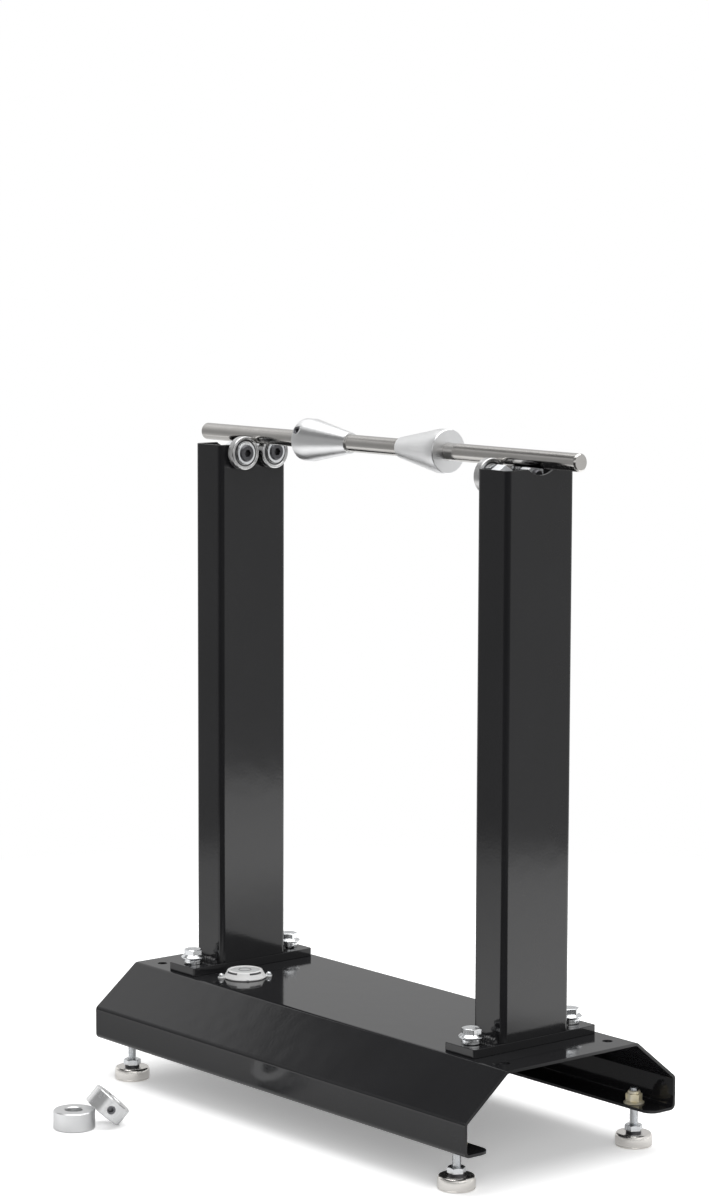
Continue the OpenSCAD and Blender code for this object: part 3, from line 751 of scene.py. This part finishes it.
def numbered(node, name, spots, height, turns):
    """Places of like pieces that stand for one node, each with its turn."""
    return [
        (f"{name}_{k + 1}", move(spot.x, spot.y, height) @ about(turn), "stand", node)
        for k, (spot, turn) in enumerate(zip(spots, turns))
    ]


def move(x, y, z):
    return Matrix.Translation((x, y, z))


def about(turn, axis="Z"):
    return Matrix.Rotation(turn, 4, axis)


def middle(node):
    low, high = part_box(node)
    return (low + high) / 2


def points_of(node):
    return [v.co for v in frame["nodes"][node].data.vertices]


def corner_middles(node):
    """Middles of a node's four like solids, which stand at four corners."""
    points = points_of(node)
    found = []
    for end, side in ((1, -1), (1, 1), (-1, -1), (-1, 1)):
        mine = [p for p in points if p.x * end > 0 and p.y * side > 0]
        spans = [[p[k] for p in mine] for k in range(3)]
        found.append(Vector([(min(span) + max(span)) / 2 for span in spans]))
    return found


class STAND_OT_base(bpy.types.Operator):
    """Make the base: the bent sheet with rounded cut edges and a glossy coat."""

    bl_idname = "stand.base"
    bl_label = "Base"

    def execute(self, context):
        refine("base_channel", context.scene.stand_sizes.sheet_edge, "black_coat")
        return {"FINISHED"}


class STAND_OT_posts(bpy.types.Operator):
    """Make the two posts and their foot plates."""

    bl_idname = "stand.posts"
    bl_label = "Posts"

    def execute(self, context):
        sizes = context.scene.stand_sizes
        for end in ENDS:
            refine(end + "_post_tube", sizes.sheet_edge, "black_coat")
            refine(end + "_post_plate", sizes.plate_edge, "black_coat", segments=3)
        return {"FINISHED"}


def weld_bead(leg, run, sizes):
    """One bead along X, with its legs on y = 0 and z = 0: drops from an uneven hand."""
    count = int(run / sizes.weld_pitch)
    pitch = (run - 0.9 * leg) / (count - 1)
    drops = []
    for k in range(count):
        swell = 0.9 + 0.1 * math.sin(2.4 * k) * math.cos(1.3 * k + 0.5)
        drop = new(
            f"weld_drop_{k}", bpy.ops.mesh.primitive_ico_sphere_add, subdivisions=3,
            radius=leg, location=((k - (count - 1) / 2) * pitch, 0, 0),
        )
        drop.scale = (0.42 * swell, 0.97 * swell, 0.97 * swell)
        drop.rotation_euler = (0, 0.3, 0.2 * math.sin(1.7 * k))
        settle(drop)
        drops.append(drop)
    bead = drops[0]
    join(bead, *drops[1:])
    bead.name = "weld_bead"
    modify(bead, "REMESH", mode="VOXEL", voxel_size=sizes.weld_grain)
    modify(bead, "SMOOTH", factor=0.5, iterations=3)
    with editing(bead):
        for normal in ((0, -1, 0), (0, 0, -1)):
            cut_off((0, 0, 0), normal)
    smooth(bead, angle=50)
    return bead


class STAND_OT_welds(bpy.types.Operator):
    """Make the rippled weld beads at the feet of the posts."""

    bl_idname = "stand.welds"
    bl_label = "Welds"

    def execute(self, context):
        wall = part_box("front_post_tube")[1].y
        low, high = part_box("front_post_welds")
        bead = weld_bead(high.z - low.z, high.x - low.x, context.scene.stand_sizes)
        places = []
        for end in ENDS:
            x = middle(end + "_post_tube").x
            for name, side, turn in (("left", -1, math.pi), ("right", 1, 0)):
                place = move(x, side * wall, low.z) @ about(turn)
                places.append((f"{end}_weld_{name}", place, "stand", end + "_post_welds"))
        spread(bead, places, "black_coat")
        return {"FINISHED"}


def corner_radius(flats):
    """A hexagon's radius to its corners."""
    return flats / 2 / math.cos(math.pi / 6)


def hexagon(name, flats, low, high, edge):
    """A hexagonal prism along Z, with corners on the X axis and its top corners turned off."""
    piece = new(
        name, bpy.ops.mesh.primitive_cylinder_add, vertices=6, radius=corner_radius(flats),
        depth=high - low, location=(0, 0, (low + high) / 2), rotation=(0, 0, QUARTER),
    )
    settle(piece)
    rim = 0.95 * flats / 2
    out = 0.6 * flats
    slope = math.tan(math.radians(28))
    top = high - (out - rim) * slope
    stock = ((0, low - MM), (out, low - MM), (out, top), (rim, high), (0, high))
    combine(piece, turned(name + "_stock", stock, steps=64), "INTERSECT")
    with editing(piece):
        pick(piece, "EDGE", lambda e: is_upright(e, low))
        bpy.ops.mesh.bevel(offset=edge, segments=2, affect="EDGES")
    return piece


def is_upright(edge, low):
    """True for a hexagon's six upright corner edges."""
    first, second = (v.co for v in edge.verts)
    aside = abs(first.x - second.x) + abs(first.y - second.y)
    return aside < MERGE and min(first.z, second.z) < low + LEVEL_GAP


def is_top(face, high):
    """True for the flat top of a bolt's head."""
    return face.normal.z > 0.999 and abs(face.calc_center_median().z - high) < LEVEL_GAP


def dish(piece, high, margin, depth):
    """Presses a shallow dish into a bolt's flat top, in two steps."""
    with editing(piece):
        flatten()
        pick(piece, "FACE", lambda f: is_top(f, high))
        for share in (0.4, 0.6):
            bpy.ops.mesh.inset(thickness=margin)
            bpy.ops.transform.translate(value=(0, 0, -depth * share))


def spring_washers(spots, sizes):
    """Spring washers: a flat wire coiled twice, with its ends cut square."""
    low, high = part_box("post_spring_washers")
    height = high.z - low.z
    wire = 0.47 * height
    outer = high.x - spots[0].x
    points = ((WASHER_BORE, 0), (outer, 0), (outer, wire), (WASHER_BORE, wire))
    washer = outline("spring_washer", points, closed=True)
    coil(washer, pitch=(height - wire) / 2, turns=2, steps=64)
    with editing(washer):
        bpy.ops.mesh.remove_doubles(threshold=MERGE)
        bpy.ops.mesh.fill_holes(sides=4)
        face_out()
    soften(washer, sizes.metal_edge)
    turns = [0.9 * k + 3.6 for k in range(4)]
    places = numbered("post_spring_washers", "spring_washer", spots, low.z, turns)
    spread(washer, places, "zinc_plate")


class STAND_OT_post_bolts(bpy.types.Operator):
    """Make the flanged bolts, spring washers and nuts that hold the posts."""

    bl_idname = "stand.post_bolts"
    bl_label = "Post bolts"

    def execute(self, context):
        sizes = context.scene.stand_sizes
        low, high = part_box("post_bolts")
        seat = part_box("post_spring_washers")[1].z
        spots = corner_middles("post_bolts")
        head = high.z - seat
        shoulder = 2.8 * MM
        cone = ((POST_FLATS / 2 + 0.4 * MM, shoulder), (0, shoulder))
        points = [(0, 0), *profile(POST_FLANGE, high.x - spots[0].x), *cone]
        bolt = turned("post_bolt", points, sizes.steps)
        crown = hexagon("post_bolt_crown", POST_FLATS, MM, head, edge=0.35 * MM)
        dish(crown, head, margin=1.1 * MM, depth=sizes.head_dish)
        combine(bolt, crown, "UNION")
        soften(bolt, sizes.metal_edge)
        shank = threaded_rod("post_bolt_thread", POST_THREAD, sizes.post_pitch, low.z - seat, MM)
        join(bolt, shank)
        turns = [math.radians(turn) for turn in POST_TURNS]
        spread(bolt, numbered("post_bolts", "post_bolt", spots, seat, turns), "zinc_plate")
        spring_washers(spots, sizes)
        refine("post_nuts", sizes.metal_edge, "zinc_plate")
        return {"FINISHED"}


def bearing_shields(sizes):
    """Pressed sheet shields, two in each bearing."""
    node = "front_right_roller_shields"
    centre = middle(node)
    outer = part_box(node)[1].y - centre.y
    inner = min(math.hypot(p.y - centre.y, p.z - centre.z) for p in points_of(node))
    thick = 0.2 * MM
    rib = sizes.shield_rib
    upper = [
        (outer, 0), (outer - 0.35 * MM, 0), (outer - 0.6 * MM, -rib), (outer - 1.2 * MM, -rib),
        (outer - 1.45 * MM, -rib * 0.2), (inner + 0.4 * MM, -rib * 0.2), (inner, -rib * 0.6),
    ]
    under = [(radius, height - thick) for radius, height in reversed(upper)]
    shield = turned("shield", upper + under, steps=72, closed=True)
    soften(shield, 0.06 * MM)
    places = []
    for corner in CORNERS:
        node = corner + "_roller_shields"
        spot = middle(node)
        low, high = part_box(node)
        half = (high.x - low.x) / 2
        for name, side in (("in", -1), ("out", 1)):
            place = move(spot.x + side * half, spot.y, spot.z) @ about(side * QUARTER, "Y")
            places.append((f"{node}_{name}", place, corner + "_roller", node))
    spread(shield, places, "shield_steel", slot="bearing_steel")


def roller_pins(sizes):
    """Stepped pins: a socket in the end that carries the bearing, a thread past the nut."""
    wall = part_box("front_post_tube")[0].x
    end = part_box("roller_bolts")[1].x
    tall = wall - min(p.x for p in points_of("roller_bolts") if p.x > 0)
    radius = sizes.roller_pin / 2
    edge = 0.8 * MM
    points = ((0, 0), (radius, 0), (radius, tall - edge), (radius - edge, tall), (0, tall))
    pin = turned("roller_pin", points, sizes.steps)
    socket = new(
        "roller_socket", bpy.ops.mesh.primitive_cylinder_add, vertices=6,
        radius=corner_radius(sizes.roller_socket), depth=6 * MM, location=(0, 0, tall),
    )
    combine(pin, socket, "DIFFERENCE")
    soften(pin, sizes.metal_edge)
    thread = sizes.roller_thread / 2
    rod = threaded_rod(
        "roller_thread", thread, sizes.roller_pitch, wall - end, MM, chamfer=0.9 * MM, steps=48
    )
    join(pin, rod)
    places = []
    for corner in CORNERS:
        spot = middle(corner + "_roller_ring")
        side = 1 if spot.x > 0 else -1
        place = move(side * wall, spot.y, spot.z) @ about(-side * QUARTER, "Y")
        places.append((corner + "_roller_pin", place, "stand", "roller_bolts"))
    spread(pin, places, "black_oxide")


class STAND_OT_rollers(bpy.types.Operator):
    """Make the four ball bearing rollers with their pins, spacers and nuts."""

    bl_idname = "stand.rollers"
    bl_label = "Rollers"

    def execute(self, context):
        sizes = context.scene.stand_sizes
        edge = sizes.metal_edge
        for corner in CORNERS:
            name = corner + "_roller_"
            refine(name + "ring", edge, "bearing_steel", segments=3)
            coat_node(name + "balls", "bearing_steel")
            coat_node(name + "cage", "zinc_plate")
        refine("roller_inner_rings", edge, "bearing_steel")
        refine("roller_spacers", edge, "zinc_plate")
        refine("roller_washers", edge, "zinc_plate")
        refine("roller_nuts", edge, "lit_zinc", slot="zinc_plate")
        bearing_shields(sizes)
        roller_pins(sizes)
        return {"FINISHED"}


class STAND_OT_axle(bpy.types.Operator):
    """Make the axle, its two centring cones and their clamping screws."""

    bl_idname = "stand.axle"
    bl_label = "Axle and cones"

    def execute(self, context):
        edge = context.scene.stand_sizes.metal_edge
        refine("axle", edge, "polished_steel", segments=3)
        for end in ENDS:
            refine(end + "_cone", edge, "cone_aluminium", slot="turned_aluminium")
            refine(end + "_cone_screw", edge, "lit_oxide", slot="black_oxide")
        return {"FINISHED"}


class STAND_OT_collars(bpy.types.Operator):
    """Make the two loose set collars and their clamping screws."""

    bl_idname = "stand.collars"
    bl_label = "Set collars"

    def execute(self, context):
        edge = context.scene.stand_sizes.metal_edge
        for collar in ("flat_collar", "leaning_collar"):
            refine(collar, edge, collar + "_aluminium", slot="turned_aluminium")
            refine(collar + "_screw", edge, "lit_oxide", slot="black_oxide")
        return {"FINISHED"}


def foot_places(name, *nodes):
    """Places of one piece of each foot, with the node that it stands for."""
    found = []
    for corner in CORNERS:
        spot = middle(corner + "_foot_pad")
        foot = corner + "_foot"
        stood_for = [f"{foot}_{node}" for node in nodes]
        found.append((f"{corner}_{name}", move(spot.x, spot.y, 0), foot, *stood_for))
    return found


def foot_pads(sizes):
    """Round pads with a bulging side and a fine groove near the floor, and their necks."""
    low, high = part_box("front_left_foot_pad")
    side = profile(PAD_SIDE, (high.x - low.x) / 2)
    pad = turned("foot_pad", [(0, 0), *side, (0, side[-1][1])], sizes.steps)
    shade(pad, angle=30)
    foot = 9 * MM
    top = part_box("front_left_foot_hex")[0].z
    points = (
        (0, foot), (NECK_RADIUS, foot), (NECK_RADIUS, top - 0.3 * MM), (5 * MM, top), (0, top)
    )
    neck = turned("foot_neck", points)
    shade(neck, angle=30)
    spread(pad, foot_places("pad", "pad"), "nickel_plate")
    spread(neck, foot_places("neck"), "black_oxide")


def lock_nuts(sizes):
    """Flanged lock nuts with a rounded locking collar, on the lips of the base."""
    low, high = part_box("foot_lock_nuts")
    spots = corner_middles("foot_lock_nuts")
    tall = high.z - low.z
    shoulder = tall - 1.8 * MM
    flange = profile(NUT_FLANGE, high.x - spots[0].x)
    nut = turned("lock_nut", [(0, 0), *flange, (0, flange[-1][1])], sizes.steps)
    combine(nut, hexagon("lock_nut_flats", NUT_FLATS, MM, shoulder, edge=0.3 * MM), "UNION")
    rim = profile(NUT_COLLAR, top=tall)
    collar = [(0, shoulder - MM), (rim[0][0], shoulder - MM), *rim, (0, tall)]
    combine(nut, turned("lock_nut_collar", collar, steps=64), "UNION")
    bore = ((0, -MM), (NUT_BORE, -MM), (NUT_BORE, tall + MM), (0, tall + MM))
    combine(nut, turned("lock_nut_bore", bore), "DIFFERENCE")
    soften(nut, 0.12 * MM)
    turns = [0.2 + 0.7 * k for k in range(4)]
    places = numbered("foot_lock_nuts", "lock_nut", spots, low.z, turns)
    spread(nut, places, "yellow_zinc", slot="zinc_plate")


class STAND_OT_feet(bpy.types.Operator):
    """Make the four levelling feet: pads, hexagons, threaded studs and lock nuts."""

    bl_idname = "stand.feet"
    bl_label = "Feet"

    def execute(self, context):
        sizes = context.scene.stand_sizes
        low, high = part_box("front_left_foot_stud")
        radius = (high.x - low.x) / 2
        stud = threaded_rod("foot_stud", radius, sizes.stud_pitch, low.z, high.z)
        foot_pads(sizes)
        lock_nuts(sizes)
        for corner in CORNERS:
            refine(corner + "_foot_hex", sizes.metal_edge, "zinc_plate")
        spread(stud, foot_places("stud", "stud"), "zinc_plate")
        return {"FINISHED"}


def level_housing(reach, top, sizes):
    """Moulded housing: sloped wall with four slots, bezel, well, ears and a notch."""
    points = profile(LEVEL_FOOT) + profile(LEVEL_WALL, top=top) + profile(LEVEL_WELL)
    piece = turned("level_body", points, sizes.steps)
    with editing(piece):
        pick(piece, "FACE", lambda f: in_slot(f.calc_center_median(), top, sizes))
        bpy.ops.mesh.extrude_region_move()
        bpy.ops.transform.resize(value=(0.93, 0.93, 1), center_override=(0, 0, 0))
        face_out()
    for side in (-1, 1):
        combine(piece, level_ear(side, reach), "UNION")
    notch = new(
        "level_notch", bpy.ops.mesh.primitive_cylinder_add, vertices=32, radius=1.2 * MM,
        depth=3 * MM, location=(0, -15.2 * MM, 0), rotation=(QUARTER, 0, 0),
    )
    combine(piece, notch, "DIFFERENCE")
    soften(piece, 0.12 * MM, angle=50)
    return piece


def in_slot(at, top, sizes):
    """True on the housing's wall where one of its four slots is."""
    if not SLOT_LOW * MM < at.z - top < SLOT_HIGH * MM or math.hypot(at.x, at.y) < SLOT_RADIUS:
        return False
    return (math.atan2(at.y, at.x) - sizes.slot_turn) % QUARTER < sizes.slot_arc


def level_ear(side, reach):
    """A flat ear with a round end and a screw hole."""
    end = turned("level_ear", profile(LEVEL_EAR), closed=True)
    end.location.x = side * reach
    settle(end)
    arm = new(
        "level_ear_arm", bpy.ops.mesh.primitive_cube_add, size=1,
        location=(side * (reach - 3.6 * MM), 0, 0.5 * MM), scale=(4 * MM, 5 * MM, 1 * MM),
    )
    settle(arm)
    combine(end, arm, "UNION")
    return end


def level_lens(mark, sizes):
    """A clear lens with a low dome and a rounded rim."""
    rise = sizes.lens_rise
    rim = mark - 0.85 * rise
    dome = [(DOME_RADIUS * math.cos(a), rim + rise * math.sin(a)) for a in (0.25, 0.6, 0.95, 1.25)]
    under = mark - 1.45 * MM
    side = [(0, under), (LENS_RADIUS, under), (LENS_RADIUS, rim - 0.1 * MM)]
    piece = turned("level_glass", [*side, *dome, (0, rim + rise)], sizes.steps)
    shade(piece, angle=60)
    return piece


def slot_shade_piece(top, sizes):
    """Painted shade: a dark piece at the back of one slot in the housing's wall."""
    piece = outline("slot_shade_piece", profile(SLOT_SHADE_SECTION, top=top), closed=True)
    with editing(piece):
        bpy.ops.mesh.edge_face_add()
        spin_round(16, -sizes.slot_arc)
    shade(piece)
    return piece


def level_screw():
    """A round-headed screw with a cross recess."""
    piece = turned("level_screw", profile(LEVEL_SCREW), steps=40)
    for turn in (0, QUARTER):
        tool = new(
            "level_screw_slot", bpy.ops.mesh.primitive_cube_add, size=1,
            location=(0, 0, 3.4 * MM), rotation=(0, 0, turn + 0.4),
            scale=(2.6 * MM, 0.6 * MM, 1.6 * MM),
        )
        settle(tool)
        combine(piece, tool, "DIFFERENCE")
    soften(piece, 0.05 * MM, angle=50)
    return piece


class STAND_OT_level(bpy.types.Operator):
    """Make the bull's eye level with its bezel, lens, ring mark and screws."""

    bl_idname = "stand.level"
    bl_label = "Level"

    def execute(self, context):
        sizes = context.scene.stand_sizes
        spot = middle("level_lens")
        foot, top = (corner.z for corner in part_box("level_housing"))
        top -= foot
        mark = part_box("level_ring")[0].z - foot
        ears = [p for p in points_of("level_screws") if p.x > spot.x]
        ear = sum(ears, Vector()) / len(ears) - spot
        place = move(spot.x, spot.y, foot) @ about(math.atan2(ear.y, ear.x))
        reach = math.hypot(ear.x, ear.y)
        housing = [("level_housing_piece", place, "stand", "level_housing")]
        spread(level_housing(reach, top, sizes), housing, "white_plastic")
        lens = [("level_lens_piece", place, "stand", "level_lens")]
        spread(level_lens(mark, sizes), lens, "clear_plastic")
        # Dark pieces of painted shade in the four slots.
        slots = [
            (f"level_slot_{k + 1}", place @ about(sizes.slot_turn + QUARTER * k), "stand")
            for k in range(4)
        ]
        spread(slot_shade_piece(top, sizes), slots, "mark_black")
        screws = [
            (f"level_screw_{k + 1}", place @ move(side * reach, 0, 0), "stand", "level_screws")
            for k, side in enumerate((1, -1))
        ]
        spread(level_screw(), screws, "zinc_plate")
        coat_node("level_liquid", "level_fluid")
        coat_node("level_bubble", "bubble_air")
        coat_node("level_ring", "mark_black")
        return {"FINISHED"}


def make_floor(studio):
    """A pale disc that fades into the white surroundings. In gloss it glows with painted reflected
    light, with painted shade near the stand and towards the camera.
    """
    floor = new(
        "floor", bpy.ops.mesh.primitive_circle_add, vertices=96, radius=studio.floor_radius,
        fill_type="NGON",
    )
    f = finish("floor_white")
    camera, glossy = f.rays("Camera", "Glossy")
    paper = studio.floor_white - f.noise(f.place(), 6, 2) * 0.012
    x, y, _ = f.split(f.place())
    reach = distance(x, y)
    facing = f.ramp((x * CAMERA_X - y * CAMERA_Y) / reach, (0.38, 0), (0.6, 1))
    ahead = facing * f.ramp(reach, (0.3, 0), (0.45, 1))
    # Painted light and shade: the lit floor is whiter to the camera and darker in gloss, most of
    # all towards the camera.
    shown = camera * studio.floor_gain + 1 - glossy * (studio.floor_dim + ahead * 0.7)
    diffuse = f.add("BsdfDiffuse", {"Color": paper * shown})
    off = distance(x - studio.floor_edge[0], y - studio.floor_edge[1])
    edge = f.ramp(off * 0.5, (0.525, 0), (0.58, 1))
    far = f.ramp(reach, (0.62, 0), (0.98, 1)) * (1 - glossy) + edge * glossy
    # Painted reflected light: the floor's glow in gloss, brighter away from the camera and darker
    # close to the stand's sides, where its shadow falls.
    level = f.ramp(x * 0.5 + 0.5, (0.2, 0.235), (0.4, 0.46), (0.65, 0.5), (0.74, 1), (0.98, 0.83))
    aside = y.maths("ABSOLUTE", y)
    near = f.ramp(aside, (0.12, 0.3), (0.15, 0.04), (0.21, 0.22), (0.29, 1))
    sheen = level * near * (1 - ahead) * studio.floor_sheen
    glow = f.add("Emission", {"Color": camera * studio.floor_glow + glossy * sheen})
    lit = f.add("AddShader", {0: diffuse, 1: glow})
    white = f.add("Emission", {"Color": camera})
    beyond = f.add("MixShader", {0: camera, 1: f.add("BsdfTransparent"), 2: white})
    f.surface(f.add("MixShader", {0: far, 1: lit, 2: beyond}))
    floor.data.materials.append(FINISHES["floor_white"])


def make_surroundings(scene, studio):
    """White to the camera, a soft gradient to gloss and an even light to the rest."""
    scene.world = bpy.data.worlds.new("studio")
    f = Finish(scene.world)
    camera, glossy, through = f.rays("Camera", "Glossy", "Transmission")
    x, y, z = f.split(f.add("TexCoord", output="Generated"))
    side = f.ramp(y * 0.5 + 0.5, (0.18, 0.41), (0.45, 1.1), (0.8, 0.64)) + x * 0.1
    roof = f.ramp(z + x * 0.1 - y * 0.3, (0.586, 1), (0.597, 0.16), (0.85, 0.16), (0.95, 1))
    ahead = x * CAMERA_X - y * CAMERA_Y
    low = f.ramp(z + 0.5, (0.5, 1), (0.6, 0))
    below = f.ramp(ahead, (0.25, 0), (0.5, 0.7), (0.86, 0.9)) * low
    panel = f.ramp(ahead, (0.8, 0), (0.95, 0.45)) * f.ramp(z, (0.08, 0), (0.14, 1))
    shine = side * roof * (1 - below) + panel
    even = f.add("Background", {"Strength": studio.ambient})
    gloss = f.add("Background", {"Color": shine})
    white = f.add("Background", {"Color": (1, 1, 1)})
    seen = f.add("MixShader", {0: glossy, 1: even, 2: gloss})
    f.surface(f.add("MixShader", {0: camera + through, 1: seen, 2: white}), "OutputWorld")


def make_lamp(name, place, size, power):
    """A round soft light on the stand that the camera can't see."""
    lamp = new(name, bpy.ops.object.light_add, type="AREA", location=place)
    lamp.rotation_euler = (LAMP_AIM - Vector(place)).to_track_quat("-Z", "Y").to_euler()
    assign(lamp.data, shape="DISK", size=size, energy=power)
    lamp.visible_camera = False
    return lamp


def make_camera(scene, studio):
    camera = new(
        "photo_camera", bpy.ops.object.camera_add, location=studio.camera_place,
        rotation=studio.camera_turn,
    )
    assign(camera.data, sensor_fit="VERTICAL", sensor_height=36, lens=studio.camera_lens)
    assign(camera.data, clip_start=0.05, clip_end=50)
    scene.camera = camera


class STAND_OT_studio(bpy.types.Operator):
    """Set up the floor, the soft light and the camera."""

    bl_idname = "stand.studio"
    bl_label = "Studio"

    def execute(self, context):
        studio = context.scene.stand_studio
        context.scene.view_settings.view_transform = "Standard"
        make_floor(studio)
        make_surroundings(context.scene, studio)
        make_lamp("key_light", KEY_PLACE, KEY_SIZE, studio.key_power)
        fill = make_lamp("fill_light", FILL_PLACE, FILL_SIZE, studio.fill_power)
        fill.visible_glossy = False
        make_camera(context.scene, studio)
        return {"FINISHED"}


STEPS = (
    STAND_OT_base, STAND_OT_posts, STAND_OT_welds, STAND_OT_post_bolts, STAND_OT_rollers,
    STAND_OT_axle, STAND_OT_collars, STAND_OT_feet, STAND_OT_level, STAND_OT_studio,
)

GROUPS = {
    "stand_sizes": StandSizes,
    "stand_colours": StandColours,
    "stand_studio": StudioSettings,
}


class STAND_PT_panel(bpy.types.Panel):
    """The steps that make the stand, and the sizes and colours they use."""

    bl_label = "Wheel balancing stand"
    bl_space_type = "VIEW_3D"
    bl_region_type = "UI"
    bl_category = "Stand"

    def draw(self, context):
        for step in STEPS:
            self.layout.operator(step.bl_idname)
        for name in GROUPS:
            group = getattr(context.scene, name)
            box = self.layout.box()
            for key in group.__annotations__:
                box.prop(group, key)


CLASSES = (*GROUPS.values(), *STEPS, STAND_PT_panel)


def register():
    for cls in CLASSES:
        bpy.utils.register_class(cls)
    for key, group in GROUPS.items():
        setattr(bpy.types.Scene, key, PointerProperty(type=group))


def unregister():
    for key in GROUPS:
        delattr(bpy.types.Scene, key)
    for cls in reversed(CLASSES):
        bpy.utils.unregister_class(cls)


def main():
    register()
    make_finishes(bpy.context.scene.stand_colours)
    for step in STEPS:
        group, name = step.bl_idname.split(".")
        getattr(getattr(bpy.ops, group), name)()


if __name__ == "__main__":
    main()
